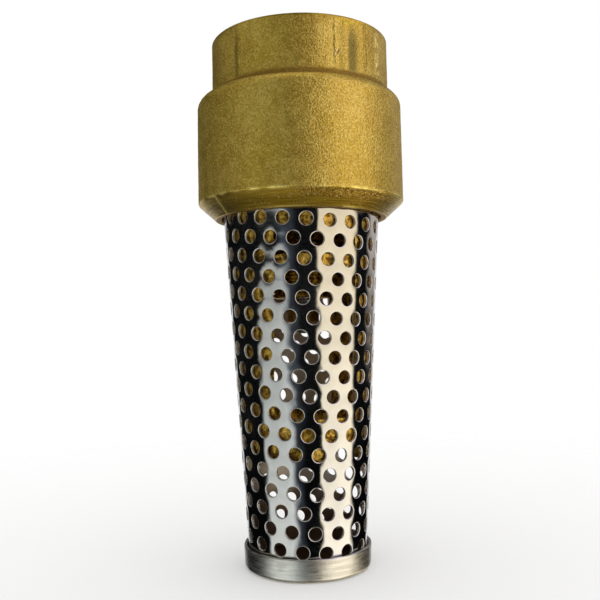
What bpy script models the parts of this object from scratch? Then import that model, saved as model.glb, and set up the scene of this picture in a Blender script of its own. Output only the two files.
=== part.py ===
"""Brass foot valve with a perforated stainless strainer.

A female-threaded cast brass body carries a screwed-in brass cage.  The cage
holds the seat, guides a spring-loaded poppet and fills the wide end of a
conical perforated strainer sleeve in the body's counterbore.  A drawn cap
closes the narrow end of the sleeve.

Sizes are in mm and are scaled to metres as each mesh is stored; +Z is up.
The origin is on the valve's axis, at the underside of the end cap.  Azimuths
are in degrees about +Z from -Y towards +X.  A name ending in _Z that holds a
pair gives the bottom and top heights.
"""
import math

import bmesh
import bpy
from mathutils import Matrix, Vector
from mathutils.geometry import delaunay_2d_cdt

MM = 0.001
TAU = 2.0 * math.pi
GAP = 0.1                    # between neighbouring parts, along and across the axis


def above(lower, thickness):
    """Height range of a part resting a gap above another."""
    z0 = lower[1] + GAP
    return z0, z0 + thickness


def below(upper, thickness):
    """Height range of a part hanging a gap below another."""
    z1 = upper[0] - GAP
    return z1 - thickness, z1


# Segments around the axis
SEG_BODY = 48
SEG_DISC = 40
SEG_SMALL = 20
SHARP_ANGLE = 35.0

# Body, outside
HEIGHT = 150.0
RIM_R = 25.6                 # neck
RIM_EDGE = 0.4               # chamfer at the top of the neck
BODY_R_TOP = 29.62           # under the shoulder
BODY_R_LOW = 29.75           # at the lower corner
SHOULDER_Z = 133.7
SHOULDER_FILLET = 2.9
CHAMFER_TOP_Z = 103.5
BODY_BOTTOM_Z = 99.1
LIP_R = 24.9                 # outside edge of the flat underside

# Shallow wrench flats cast on the neck
FLAT_COUNT = 4
FLAT_APOTHEM = 25.15
FLAT_AZIMUTH = 33.4
FLAT_Z = (137.0, 148.0)
FLAT_TOLERANCE = 0.01        # for finding the neck's vertices

# 1-1/4 in. taper pipe socket
SOCKET_R = 19.4
SOCKET_TAPER = 1.0 / 32.0    # radius per length
SOCKET_FLOOR_Z = 131.6
MOUTH_R = 21.6
MOUTH_Z = 148.2

# Body, inside
CHAMBER_R = 25.0
CHAMBER_Z = (115.9, 128.0)
CAGE_THREAD_R = 22.4
COUNTERBORE_R = 23.25
COUNTERBORE_Z = 105.0

# Strainer cone
CONE_R0, CONE_Z0 = 17.28, 10.8   # outside radius at a reference height
CONE_SLOPE = 0.0592              # radius per height
CONE_ANGLE = math.atan(CONE_SLOPE)
APEX_Z = CONE_Z0 - CONE_R0 / CONE_SLOPE
SHEET_THICKNESS = 0.8
SLEEVE_Z = (1.3, 104.4)
SHEET_AZIMUTH = 65.56        # centre line of the rolled sheet; the seam is opposite
SHEET_SIDE_STEPS = 16        # along each seam edge

# Holes of the strainer, laid out on the flat sheet
HOLE_D = 3.6
HOLE_SIDES = 6
HOLE_CORNER_R = HOLE_D / 2 * 1.05
HOLE_PITCH = 6.436           # along a row
ROW_PITCH = 5.224
ROW_COUNT = 19
TOP_ROW_Z = 100.80           # on the sheet's centre line
ROW_SHIFT = -0.2585          # of the pitch
SEAM_LAND = 3.4              # undrilled land each side of the seam
END_LAND = 0.45              # least land at the sheet's two arcs

# End cap
CAP_R_LIP, CAP_R_LOW = 18.27, 18.1
CAP_H = 6.35
CAP_EDGE = 1.2
CAP_THICKNESS = 0.8
CAP_INNER_EDGE = 0.5

# Seat cage
SEAT_Z = 114.5
SEAT_R0, SEAT_R1 = 15.5, 17.5
SEAT_EDGE = 0.3
CAGE_TOP_Z = 113.7
CAGE_MALE_R = 22.1
CAGE_SHOULDER_Z = 105.2
CAGE_BOTTOM_Z = 31.0
CAGE_INNER_TOP_Z = 102.4     # top of the tapered inside
THROAT_RISE = 4.5            # from there to the straight throat
CAGE_WALL = 2.6
CAGE_GAP = 0.4               # cage to sleeve
WINDOW_AZIMUTH = 11.6
WINDOW_WIDTH = 22.6
UPPER_WINDOW_Z = (87.3, 93.9)
LOWER_WINDOW_Z = (43.0, 83.3)
DRIVE_SLOT_AZIMUTH = 44.0
DRIVE_SLOT_WIDTH = 10.5
DRIVE_SLOT_Z = (20.0, 36.2)
CUT_LENGTH = 60.0            # cutters pass right through the cage

# O-ring and its groove
GROOVE_Z = (111.5, 113.3)
GROOVE_R = 20.6
O_RING_MEAN_R = GROOVE_R + 0.9
O_RING_SECTION_R = 0.8
O_RING_SIDES = 8

# Hub of the cage and its bush
HUB_R = 8.5
HUB_Z = (76.2, 92.0)
POCKET_R = 5.7
POCKET_TOP = 87.2
HUB_BORE_R = 4.4
ARM_WIDTH = 5.0
ARM_Z = (80.5, 86.6)
BUSH_R0, BUSH_R1 = 2.65, 4.3
BUSH_Z = (POCKET_TOP + GAP, HUB_Z[1] + 1.0)
BUSH_FLANGE_R = 5.4

# Stem, and the bore of everything threaded onto it
STEM_R = 2.5
STEM_END_Z = 66.0
STEM_CHAMFER = 0.5
BORE_R = STEM_R + GAP
HEX_AF = 8.0                 # across flats

# Poppet stack, up and down from the seat
SEAL_R, SEAL_Z = 18.8, (SEAT_Z + GAP, SEAT_Z + 2.5)
DISC_R, DISC_Z = 19.5, above(SEAL_Z, 4.2)
HEAD_WASHER_R, HEAD_WASHER_Z = 5.6, above(DISC_Z, 1.0)
HEAD_Z = above(HEAD_WASHER_Z, 3.6)
RETAINER_R, RETAINER_Z = 13.8, below(SEAL_Z, 2.1)
CLAMP_NUT_Z = below(RETAINER_Z, 4.0)

# Spring, between the hub's pocket and the washer below
SPRING_MEAN_R = 4.35
SPRING_WIRE_R = 0.4
SPRING_Z = (74.9, POCKET_TOP - GAP)
SPRING_TURNS = 5.0
DEAD_TURNS = 1.0             # closed turns at each end
SPRING_TURN_STEPS = 14
WIRE_SIDES = 6
SPRING_WASHER_R, SPRING_WASHER_Z = 5.2, below(SPRING_Z, 0.9)
LOCK_NUT_Z = below(SPRING_WASHER_Z, 4.7)

# Split pin through the stem, along +X before it is turned about the axis
COTTER_Z = 67.6
COTTER_WIRE_R = 0.3
COTTER_HOLE_R = 0.85
COTTER_HOLE_LENGTH = 12.0
COTTER_HOLE_SIDES = 10
COTTER_TURN = 25.0           # from +X towards +Y
COTTER_EYE_R = 1.0
COTTER_EYE_STEPS = 10
COTTER_LEG_OFFSET = COTTER_WIRE_R + 0.06   # leg centre line to pin axis
# x, then how far the upper and the lower leg bend away from the pin axis
COTTER_LEGS = (
    (STEM_R + 3.2, 0.9, 1.3),
    (STEM_R + 1.8, 0.2, 0.75),
    (STEM_R + 0.7, 0.03, 0.08),
    (STEM_R + 0.2, 0.0, 0.0),
    (-STEM_R - 0.25, 0.0, 0.0),
)

# name: (base colour, roughness, metallic)
MATERIALS = {
    "cast_brass": ((0.47, 0.31, 0.11), 0.42, 1.0),
    "cage_brass": ((0.50, 0.33, 0.12), 0.38, 1.0),
    "disc_brass": ((0.55, 0.38, 0.14), 0.28, 1.0),
    "bush_bronze": ((0.43, 0.26, 0.12), 0.35, 1.0),
    "strainer_steel": ((0.62, 0.61, 0.59), 0.18, 1.0),
    "cap_steel": ((0.56, 0.55, 0.53), 0.30, 1.0),
    "stem_steel": ((0.58, 0.58, 0.57), 0.25, 1.0),
    "nut_steel": ((0.55, 0.55, 0.55), 0.30, 1.0),
    "lock_nut_brass": ((0.56, 0.39, 0.15), 0.30, 1.0),
    "washer_steel": ((0.60, 0.60, 0.60), 0.30, 1.0),
    "spring_washer_steel": ((0.57, 0.57, 0.56), 0.30, 1.0),
    "retainer_steel": ((0.59, 0.59, 0.58), 0.30, 1.0),
    "spring_steel": ((0.60, 0.60, 0.61), 0.22, 1.0),
    "cotter_steel": ((0.55, 0.55, 0.55), 0.35, 1.0),
    "seal_rubber": ((0.018, 0.018, 0.019), 0.55, 0.0),
    "o_ring_rubber": ((0.015, 0.015, 0.016), 0.50, 0.0),
}


# ---------------------------------------------------------- scene and materials
def clear_scene():
    for obj in list(bpy.data.objects):
        bpy.data.objects.remove(obj, do_unlink=True)


def make_materials():
    for name, (colour, roughness, metallic) in MATERIALS.items():
        material = bpy.data.materials.new(name)
        material.use_nodes = True
        inputs = material.node_tree.nodes["Principled BSDF"].inputs
        inputs["Base Color"].default_value = (*colour, 1.0)
        inputs["Roughness"].default_value = roughness
        inputs["Metallic"].default_value = metallic
        material.diffuse_color = (*colour, 1.0)


def merge_points(shape):
    bmesh.ops.remove_doubles(shape, verts=shape.verts, dist=1e-4)
    bmesh.ops.dissolve_degenerate(shape, edges=shape.edges, dist=1e-5)


def add_object(name, shape, material=None, origin_z=0.0, parent=None):
    """Put a shape drawn in mm into the scene, its origin on the axis at origin_z."""
    merge_points(shape)
    bmesh.ops.recalc_face_normals(shape, faces=shape.faces)
    bmesh.ops.translate(shape, verts=shape.verts, vec=(0.0, 0.0, -origin_z))
    bmesh.ops.scale(shape, verts=shape.verts, vec=(MM, MM, MM))
    mesh = bpy.data.meshes.new(name)
    shape.to_mesh(mesh)
    shape.free()
    mesh.shade_smooth()
    mesh.set_sharp_from_angle(angle=math.radians(SHARP_ANGLE))
    if material is not None:
        mesh.materials.append(bpy.data.materials[material])
    obj = bpy.data.objects.new(name, mesh)
    bpy.context.scene.collection.objects.link(obj)
    obj.parent = parent
    parent_z = parent.location.z if parent is not None else 0.0
    obj.location = (0.0, 0.0, origin_z * MM - parent_z)
    return obj


def combine(target, operation, name, shape):
    """Add a hidden tool body and a boolean that applies it to the target."""
    tool = add_object(name, shape)
    tool.hide_render = True
    tool.display_type = "WIRE"
    modifier = target.modifiers.new(operation.lower() + "_" + name, "BOOLEAN")
    modifier.operation = operation
    modifier.solver = "EXACT"
    modifier.object = tool


# ---------------------------------------------------------------- basic shapes
def spun(loop, segments):
    """Spin a closed (radius, height) loop about Z."""
    shape = bmesh.new()
    verts = [shape.verts.new((0.0, -radius, z)) for radius, z in loop]
    edges = [shape.edges.new((verts[i], verts[(i + 1) % len(verts)]))
             for i in range(len(verts))]
    bmesh.ops.spin(shape, geom=verts + edges, cent=(0, 0, 0), axis=(0, 0, 1),
                   angle=TAU, steps=segments, use_merge=True, use_duplicate=False)
    merge_points(shape)
    return shape


def cylinder(radius, z0, z1):
    return spun([(0, z0), (radius, z0), (radius, z1), (0, z1)], SEG_SMALL)


def arc(centre_r, centre_z, radius, start, end, steps):
    """Points on an arc in the (radius, height) plane; degrees."""
    angles = [math.radians(start + (end - start) * i / steps) for i in range(steps + 1)]
    return [(centre_r + radius * math.cos(angle), centre_z + radius * math.sin(angle))
            for angle in angles]


def block(width, length, heights, azimuth):
    """A box centred on the axis; its length lies along the azimuth."""
    z0, z1 = heights
    shape = bmesh.new()
    bmesh.ops.create_cube(shape, size=1.0)
    bmesh.ops.scale(shape, verts=shape.verts, vec=(width, length, z1 - z0))
    bmesh.ops.translate(shape, verts=shape.verts, vec=(0, 0, (z0 + z1) / 2))
    bmesh.ops.rotate(shape, verts=shape.verts, cent=(0, 0, 0),
                     matrix=Matrix.Rotation(math.radians(azimuth), 3, "Z"))
    return shape


def skin(sections):
    """Join equal-sized rings of points into a closed solid with flat ends."""
    shape = bmesh.new()
    rings = [[shape.verts.new(point) for point in section] for section in sections]
    sides = len(rings[0])
    for ring, following in zip(rings, rings[1:]):
        for i in range(sides):
            j = (i + 1) % sides
            shape.faces.new((ring[i], ring[j], following[j], following[i]))
    shape.faces.new(rings[0])
    shape.faces.new(list(reversed(rings[-1])))
    return shape


def hexagon(heights, azimuth, chamfer):
    """A hexagonal prism, one corner at the azimuth, its end corners turned off."""
    z0, z1 = heights
    corner_r = HEX_AF / math.sqrt(3.0)
    chamfer_h = chamfer * 0.55
    levels = [(corner_r - chamfer, z0), (corner_r, z0 + chamfer_h),
              (corner_r, z1 - chamfer_h), (corner_r - chamfer, z1)]
    angles = [math.radians(azimuth) + TAU * i / 6 for i in range(6)]
    return skin([[(radius * math.sin(angle), -radius * math.cos(angle), z)
                  for angle in angles] for radius, z in levels])


def swept(path, radius, fixed_side=None):
    """A round wire along a path.

    Sections are framed on fixed_side, or on the horizontal across the path.
    """
    sections = []
    for i, point in enumerate(path):
        before = path[max(i - 1, 0)]
        after = path[min(i + 1, len(path) - 1)]
        tangent = (after - before).normalized()
        side = fixed_side or tangent.cross(Vector((0, 0, 1))).normalized()
        normal = side.cross(tangent).normalized()
        angles = [TAU * k / WIRE_SIDES for k in range(WIRE_SIDES)]
        sections.append([point + side * radius * math.cos(angle)
                         + normal * radius * math.sin(angle) for angle in angles])
    return skin(sections)


# ------------------------------------------------------------------------ body
def pull_in_flats(shape):
    """Move the neck's vertices in to the planes of the wrench flats."""
    step = 360.0 / FLAT_COUNT
    for vert in shape.verts:
        x, y, z = vert.co
        if abs(math.hypot(x, y) - RIM_R) > FLAT_TOLERANCE:
            continue
        if not FLAT_Z[0] - FLAT_TOLERANCE <= z <= FLAT_Z[1] + FLAT_TOLERANCE:
            continue
        azimuth = math.degrees(math.atan2(x, -y))
        off_centre = (azimuth - FLAT_AZIMUTH + step / 2) % step - step / 2
        radius = min(RIM_R, FLAT_APOTHEM / math.cos(math.radians(off_centre)))
        vert.co.x *= radius / RIM_R
        vert.co.y *= radius / RIM_R


def make_body():
    neck = [(RIM_R - RIM_EDGE, HEIGHT), (RIM_R, HEIGHT - RIM_EDGE),
            (RIM_R, FLAT_Z[1] + 0.5), (RIM_R, FLAT_Z[1]),
            (RIM_R, FLAT_Z[0]), (RIM_R, FLAT_Z[0] - 0.6),
            (RIM_R + 0.12, SHOULDER_Z + 0.14), (RIM_R + 0.32, SHOULDER_Z)]
    shoulder = arc(BODY_R_TOP - SHOULDER_FILLET, SHOULDER_Z - SHOULDER_FILLET,
                   SHOULDER_FILLET, 90, 0, 4)
    underside = [(BODY_R_LOW, CHAMFER_TOP_Z), (LIP_R, BODY_BOTTOM_Z)]
    inside = [(COUNTERBORE_R, BODY_BOTTOM_Z), (COUNTERBORE_R, COUNTERBORE_Z),
              (CAGE_THREAD_R, COUNTERBORE_Z), (CAGE_THREAD_R, CHAMBER_Z[0] - 0.6),
              (CHAMBER_R, CHAMBER_Z[0]), (CHAMBER_R, CHAMBER_Z[1]),
              (SOCKET_R, SOCKET_FLOOR_Z),
              (SOCKET_R + SOCKET_TAPER * (MOUTH_Z - SOCKET_FLOOR_Z), MOUTH_Z),
              (MOUTH_R, HEIGHT)]
    shape = spun(neck + shoulder + underside + inside, SEG_BODY)
    pull_in_flats(shape)
    add_object("valve_body", shape, "cast_brass")


# ------------------------------------------------------------------------ cage
def cone_r(z):
    """Outside radius of the strainer at a height."""
    return CONE_R0 + CONE_SLOPE * (z - CONE_Z0)


def cage_r(z):
    """Outside radius of the cage where it fills the strainer."""
    return cone_r(z) - SHEET_THICKNESS - CAGE_GAP


def cage_profile():
    groove_z0, groove_z1 = GROOVE_Z
    stations = (UPPER_WINDOW_Z[1], LOWER_WINDOW_Z[1], LOWER_WINDOW_Z[0])
    loop = [(SEAT_R0 + SEAT_EDGE, SEAT_Z), (SEAT_R1, SEAT_Z), (SEAT_R1 + 0.5, CAGE_TOP_Z),
            (CAGE_MALE_R, CAGE_TOP_Z), (CAGE_MALE_R, groove_z1), (GROOVE_R, groove_z1),
            (GROOVE_R, groove_z0), (CAGE_MALE_R, groove_z0),
            (CAGE_MALE_R, CAGE_SHOULDER_Z), (cage_r(CAGE_SHOULDER_Z), CAGE_SHOULDER_Z)]
    loop += [(cage_r(z), z) for z in stations]
    loop += [(cage_r(CAGE_BOTTOM_Z) - 0.3, CAGE_BOTTOM_Z),
             (cage_r(CAGE_BOTTOM_Z) - CAGE_WALL, CAGE_BOTTOM_Z)]
    loop += [(cage_r(z) - CAGE_WALL, z) for z in reversed(stations)]
    loop += [(cage_r(CAGE_INNER_TOP_Z) - CAGE_WALL - 0.4, CAGE_INNER_TOP_Z),
             (SEAT_R0, CAGE_INNER_TOP_Z + THROAT_RISE), (SEAT_R0, SEAT_Z - SEAT_EDGE)]
    return loop


def make_cage():
    cage = add_object("seat_cage", spun(cage_profile(), SEG_BODY), "cage_brass")
    for name, width, heights, azimuth in (
            ("cut_window_upper", WINDOW_WIDTH, UPPER_WINDOW_Z, WINDOW_AZIMUTH),
            ("cut_window_lower", WINDOW_WIDTH, LOWER_WINDOW_Z, WINDOW_AZIMUTH),
            ("cut_drive_slot", DRIVE_SLOT_WIDTH, DRIVE_SLOT_Z, DRIVE_SLOT_AZIMUTH)):
        combine(cage, "DIFFERENCE", name, block(width, CUT_LENGTH, heights, azimuth))
    # the bridge: two arms to the legs between the windows, and the hub at the middle
    arm_reach = cage_r(sum(ARM_Z) / 2) - CAGE_WALL / 2
    bore = [(0, HUB_Z[0] - 1), (POCKET_R, HUB_Z[0] - 1), (POCKET_R, POCKET_TOP),
            (HUB_BORE_R, POCKET_TOP), (HUB_BORE_R, HUB_Z[1] + 1), (0, HUB_Z[1] + 1)]
    combine(cage, "UNION", "bridge_arms",
            block(2 * arm_reach, ARM_WIDTH, ARM_Z, WINDOW_AZIMUTH))
    combine(cage, "UNION", "bridge_boss", cylinder(HUB_R, *HUB_Z))
    combine(cage, "DIFFERENCE", "bridge_bore", spun(bore, SEG_SMALL))


def make_o_ring():
    angles = [TAU * (k + 0.5) / O_RING_SIDES for k in range(O_RING_SIDES)]
    loop = [(O_RING_MEAN_R + O_RING_SECTION_R * math.cos(angle),
             sum(GROOVE_Z) / 2 + O_RING_SECTION_R * math.sin(angle)) for angle in angles]
    add_object("cage_o_ring", spun(loop, SEG_BODY), "o_ring_rubber")


def make_bush():
    z0, z1 = BUSH_Z
    flange_z = HUB_Z[1] + GAP
    loop = [(BUSH_R0, z0), (BUSH_R1, z0), (BUSH_R1, flange_z),
            (BUSH_FLANGE_R, flange_z), (BUSH_FLANGE_R, z1), (BUSH_R0, z1)]
    add_object("guide_bush", spun(loop, SEG_SMALL), "bush_bronze", z0)


# -------------------------------------------------------------------- strainer
# The flat sheet is a ring sector about the cone's apex.  Its points are given
# as slant (distance from the apex) and sweep (angle from the centre line).
def slant_at(z):
    return (z - APEX_Z) / math.cos(CONE_ANGLE)


SLANT0, SLANT1 = slant_at(SLEEVE_Z[0]), slant_at(SLEEVE_Z[1])
HALF_SWEEP = math.pi * math.sin(CONE_ANGLE)


def sheet_outline():
    """Bottom arc, one seam edge, top arc, the other seam edge."""
    height, sweep = SLANT1 - SLANT0, 2 * HALF_SWEEP
    arc_steps, side_steps = SEG_BODY, SHEET_SIDE_STEPS
    outline = [(SLANT0, -HALF_SWEEP + sweep * i / arc_steps) for i in range(arc_steps)]
    outline += [(SLANT0 + height * i / side_steps, HALF_SWEEP) for i in range(side_steps)]
    outline += [(SLANT1, HALF_SWEEP - sweep * i / arc_steps) for i in range(arc_steps)]
    outline += [(SLANT1 - height * i / side_steps, -HALF_SWEEP) for i in range(side_steps)]
    return outline


def hole_centres():
    """Flat positions of the staggered holes that clear the sheet's edges."""
    reach = int(math.ceil(SLANT1 * HALF_SWEEP / HOLE_PITCH)) + 2
    margin = HOLE_D / 2 + END_LAND
    centres = []
    for row in range(ROW_COUNT):
        y = slant_at(TOP_ROW_Z) - row * ROW_PITCH
        stagger = 0.5 if row % 2 else 0.0
        for column in range(-reach, reach + 1):
            x = (column + stagger + ROW_SHIFT) * HOLE_PITCH
            slant, sweep = math.hypot(x, y), math.atan2(x, y)
            if not SLANT0 + margin <= slant <= SLANT1 - margin:
                continue
            if (HALF_SWEEP - abs(sweep)) * slant < SEAM_LAND + HOLE_D / 2:
                continue
            centres.append((x, y))
    return centres


def inside_polygon(x, y, polygon):
    inside = False
    for start, end in zip(polygon, polygon[1:] + polygon[:1]):
        if ((start.y > y) != (end.y > y)
                and x < (end.x - start.x) * (y - start.y) / (end.y - start.y) + start.x):
            inside = not inside
    return inside


def loop_edges(first, count):
    return [(first + k, first + (k + 1) % count) for k in range(count)]


def flat_sheet():
    """Triangulate the drilled sheet; return (slant, sweep) points and triangles."""
    polar = sheet_outline()
    points = [Vector((slant * math.sin(sweep), slant * math.cos(sweep)))
              for slant, sweep in polar]
    outline = list(points)
    edges = loop_edges(0, len(outline))
    hole_ids = [None] * len(outline)         # the hole each point belongs to
    for hole, (x, y) in enumerate(hole_centres()):
        edges += loop_edges(len(points), HOLE_SIDES)
        for k in range(HOLE_SIDES):
            angle = -math.atan2(x, y) + TAU * k / HOLE_SIDES
            corner_x = x + HOLE_CORNER_R * math.cos(angle)
            corner_y = y + HOLE_CORNER_R * math.sin(angle)
            points.append(Vector((corner_x, corner_y)))
            polar.append((math.hypot(corner_x, corner_y), math.atan2(corner_x, corner_y)))
            hole_ids.append(hole)

    flat, _, triangles, sources, _, _ = delaunay_2d_cdt(points, edges, [], 0, 1e-6)
    polar = [polar[source[0]] for source in sources]
    hole_ids = [hole_ids[source[0]] for source in sources]

    kept = []
    for triangle in triangles:
        # a triangle whose corners all belong to one hole lies inside that hole
        owners = {hole_ids[i] for i in triangle}
        if len(owners) == 1 and None not in owners:
            continue
        x = sum(flat[i][0] for i in triangle) / 3
        y = sum(flat[i][1] for i in triangle) / 3
        if inside_polygon(x, y, outline):
            kept.append(triangle)
    return polar, kept


def make_sleeve():
    """Punched sheet, cut as a flat ring sector and rolled into a cone."""
    polar, triangles = flat_sheet()
    sin_cone, cos_cone = math.sin(CONE_ANGLE), math.cos(CONE_ANGLE)
    shape = bmesh.new()
    outer, inner = {}, {}
    seam = {}                                # slant: vertices shared by both seam edges
    for i in sorted({i for triangle in triangles for i in triangle}):
        slant, sweep = polar[i]
        on_seam = abs(abs(sweep) - HALF_SWEEP) < 1e-7
        seam_key = round(slant, 4)
        if on_seam and seam_key in seam:
            outer[i], inner[i] = seam[seam_key]
            continue
        azimuth = math.radians(SHEET_AZIMUTH) + sweep / sin_cone
        radius = slant * sin_cone
        point = Vector((radius * math.sin(azimuth), -radius * math.cos(azimuth),
                        APEX_Z + slant * cos_cone))
        normal = Vector((cos_cone * math.sin(azimuth), -cos_cone * math.cos(azimuth),
                         -sin_cone))
        outer[i] = shape.verts.new(point)
        inner[i] = shape.verts.new(point - normal * SHEET_THICKNESS)
        if on_seam:
            seam[seam_key] = (outer[i], inner[i])

    edge_uses = {}
    for a, b, c in triangles:
        shape.faces.new((outer[a], outer[b], outer[c]))
        shape.faces.new((inner[c], inner[b], inner[a]))
        for start, end in ((a, b), (b, c), (c, a)):
            key = frozenset((outer[start], outer[end]))
            edge_uses.setdefault(key, []).append((start, end))
    # walls through the sheet at the holes and the two ends
    for uses in edge_uses.values():
        if len(uses) == 1:
            start, end = uses[0]
            shape.faces.new((outer[end], outer[start], inner[start], inner[end]))
    add_object("strainer_sleeve", shape, "strainer_steel")


def make_cap():
    inner_r = CAP_R_LOW - CAP_THICKNESS
    loop = [(0.0, 0.0)] + arc(CAP_R_LOW - CAP_EDGE, CAP_EDGE, CAP_EDGE, -90, 0, 3)
    loop += [(CAP_R_LIP, CAP_H), (CAP_R_LIP - CAP_THICKNESS, CAP_H),
             (inner_r, CAP_THICKNESS + CAP_INNER_EDGE),
             (inner_r - CAP_INNER_EDGE, CAP_THICKNESS), (0.0, CAP_THICKNESS)]
    add_object("strainer_end_cap", spun(loop, SEG_BODY), "cap_steel")


# ---------------------------------------------------------------------- spring
def make_spring():
    z0, z1 = SPRING_Z[0] + SPRING_WIRE_R, SPRING_Z[1] - SPRING_WIRE_R
    dead_rise = 2.25 * SPRING_WIRE_R         # over the closed turns at one end
    live_turns = SPRING_TURNS - 2 * DEAD_TURNS
    live_rise = (z1 - z0 - 2 * dead_rise) / live_turns
    steps = int(SPRING_TURNS * SPRING_TURN_STEPS)
    path = []
    for i in range(steps + 1):
        turn = SPRING_TURNS * i / steps
        if turn < DEAD_TURNS:
            z = z0 + dead_rise * turn / DEAD_TURNS
        elif turn > SPRING_TURNS - DEAD_TURNS:
            z = z1 - dead_rise * (SPRING_TURNS - turn) / DEAD_TURNS
        else:
            z = z0 + dead_rise + live_rise * (turn - DEAD_TURNS)
        angle = TAU * turn
        path.append(Vector((SPRING_MEAN_R * math.sin(angle),
                            -SPRING_MEAN_R * math.cos(angle), z)))
    add_object("valve_spring", swept(path, SPRING_WIRE_R), "spring_steel")


# ---------------------------------------------------------------------- poppet
def make_lift_axis():
    """The empty that carries everything that lifts."""
    lift = bpy.data.objects.new("poppet_axis", None)
    lift.location = (0.0, 0.0, SEAT_Z * MM)
    bpy.context.scene.collection.objects.link(lift)
    return lift


def make_disc(lift):
    z0, z1 = DISC_Z
    loop = [(BORE_R, z0), (DISC_R - 1.0, z0), (DISC_R, z0 + 0.6), (DISC_R, z1 - 1.2),
            (DISC_R - 1.2, z1 - 0.35), (8.0, z1), (BORE_R, z1)]
    add_object("poppet_disc", spun(loop, SEG_DISC), "disc_brass", z0, lift)


def make_washers(lift):
    """Flat rings on the stem, their outer corners chamfered."""
    for name, material, radius, (z0, z1), segments, edge in (
            ("poppet_seal", "seal_rubber", SEAL_R, SEAL_Z, SEG_DISC, 0.4),
            ("seal_retainer", "retainer_steel", RETAINER_R, RETAINER_Z, SEG_DISC, 0.3),
            ("head_washer", "washer_steel", HEAD_WASHER_R, HEAD_WASHER_Z, SEG_SMALL, 0.15),
            ("spring_washer", "spring_washer_steel", SPRING_WASHER_R, SPRING_WASHER_Z,
             SEG_SMALL, 0.15)):
        loop = [(BORE_R, z0), (radius - edge, z0), (radius, z0 + edge),
                (radius, z1 - edge), (radius - edge, z1), (BORE_R, z1)]
        add_object(name, spun(loop, segments), material, z0, lift)


def make_nuts(lift):
    for name, material, heights, azimuth in (
            ("clamp_nut", "nut_steel", CLAMP_NUT_Z, 10),
            ("lock_nut", "lock_nut_brass", LOCK_NUT_Z, 24)):
        z0, z1 = heights
        nut = add_object(name, hexagon(heights, azimuth, chamfer=0.5), material, z0, lift)
        combine(nut, "DIFFERENCE", "cut_" + name, cylinder(BORE_R, z0 - 1, z1 + 1))


def make_stem(lift):
    """A turned shank with a hexagon head, cross-drilled near its lower end."""
    shank_top = HEAD_Z[0] + 1.0              # runs up into the head
    shank = [(0, STEM_END_Z), (STEM_R - STEM_CHAMFER, STEM_END_Z),
             (STEM_R, STEM_END_Z + STEM_CHAMFER), (STEM_R, shank_top), (0, shank_top)]
    stem = add_object("poppet_stem", spun(shank, SEG_SMALL), "stem_steel", SEAT_Z, lift)
    combine(stem, "UNION", "stem_head", hexagon(HEAD_Z, 0.0, chamfer=0.6))
    drill = bmesh.new()
    bmesh.ops.create_cone(drill, cap_ends=True, segments=COTTER_HOLE_SIDES,
                          radius1=COTTER_HOLE_R, radius2=COTTER_HOLE_R,
                          depth=COTTER_HOLE_LENGTH)
    for angle, axis in ((90.0, "Y"), (COTTER_TURN, "Z")):
        bmesh.ops.rotate(drill, verts=drill.verts, cent=(0, 0, 0),
                         matrix=Matrix.Rotation(math.radians(angle), 3, axis))
    bmesh.ops.translate(drill, verts=drill.verts, vec=(0, 0, COTTER_Z))
    combine(stem, "DIFFERENCE", "cut_cotter_hole", drill)


def make_cotter(lift):
    """Split pin: an eye, two legs side by side through the stem, ends opened."""
    eye_x = -(STEM_R + 0.5 + COTTER_EYE_R)
    path = [Vector((x, 0, COTTER_Z + COTTER_LEG_OFFSET + bend))
            for x, bend, _ in COTTER_LEGS]
    start = math.asin(COTTER_LEG_OFFSET / COTTER_EYE_R)
    for i in range(COTTER_EYE_STEPS + 1):
        angle = start + (TAU - 2 * start) * i / COTTER_EYE_STEPS
        path.append(Vector((eye_x + COTTER_EYE_R * math.cos(angle), 0,
                            COTTER_Z + COTTER_EYE_R * math.sin(angle))))
    path += [Vector((x, 0, COTTER_Z - COTTER_LEG_OFFSET - bend))
             for x, _, bend in reversed(COTTER_LEGS)]
    shape = swept(path, COTTER_WIRE_R, fixed_side=Vector((0, 1, 0)))
    bmesh.ops.rotate(shape, verts=shape.verts, cent=(0, 0, 0),
                     matrix=Matrix.Rotation(math.radians(COTTER_TURN), 3, "Z"))
    add_object("cotter_pin", shape, "cotter_steel", COTTER_Z, lift)


def main():
    clear_scene()
    make_materials()
    make_body()
    make_cage()
    make_o_ring()
    make_sleeve()
    make_cap()
    make_bush()
    make_spring()
    lift = make_lift_axis()
    make_disc(lift)
    make_washers(lift)
    make_nuts(lift)
    make_stem(lift)
    make_cotter(lift)


main()
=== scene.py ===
"""Looks of the brass foot valve: fine meshes, procedural materials, studio."""
import math

import bmesh
import bpy
import numpy as np
from mathutils import Matrix, Vector
from mathutils.geometry import delaunay_2d_cdt


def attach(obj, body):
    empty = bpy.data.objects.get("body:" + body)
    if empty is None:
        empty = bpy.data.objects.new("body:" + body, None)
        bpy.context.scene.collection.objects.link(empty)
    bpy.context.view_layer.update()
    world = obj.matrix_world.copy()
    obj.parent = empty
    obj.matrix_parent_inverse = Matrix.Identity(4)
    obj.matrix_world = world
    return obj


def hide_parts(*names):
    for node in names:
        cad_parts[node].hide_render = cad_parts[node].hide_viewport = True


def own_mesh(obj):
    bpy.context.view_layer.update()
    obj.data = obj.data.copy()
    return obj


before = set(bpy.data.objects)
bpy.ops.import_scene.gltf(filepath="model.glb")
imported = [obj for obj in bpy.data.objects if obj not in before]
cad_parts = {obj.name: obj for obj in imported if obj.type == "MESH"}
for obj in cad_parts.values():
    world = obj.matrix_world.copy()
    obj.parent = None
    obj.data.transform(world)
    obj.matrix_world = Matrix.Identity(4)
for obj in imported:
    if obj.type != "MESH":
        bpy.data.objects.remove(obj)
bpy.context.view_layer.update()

MM = 0.001
TAU = 2.0 * math.pi

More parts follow.
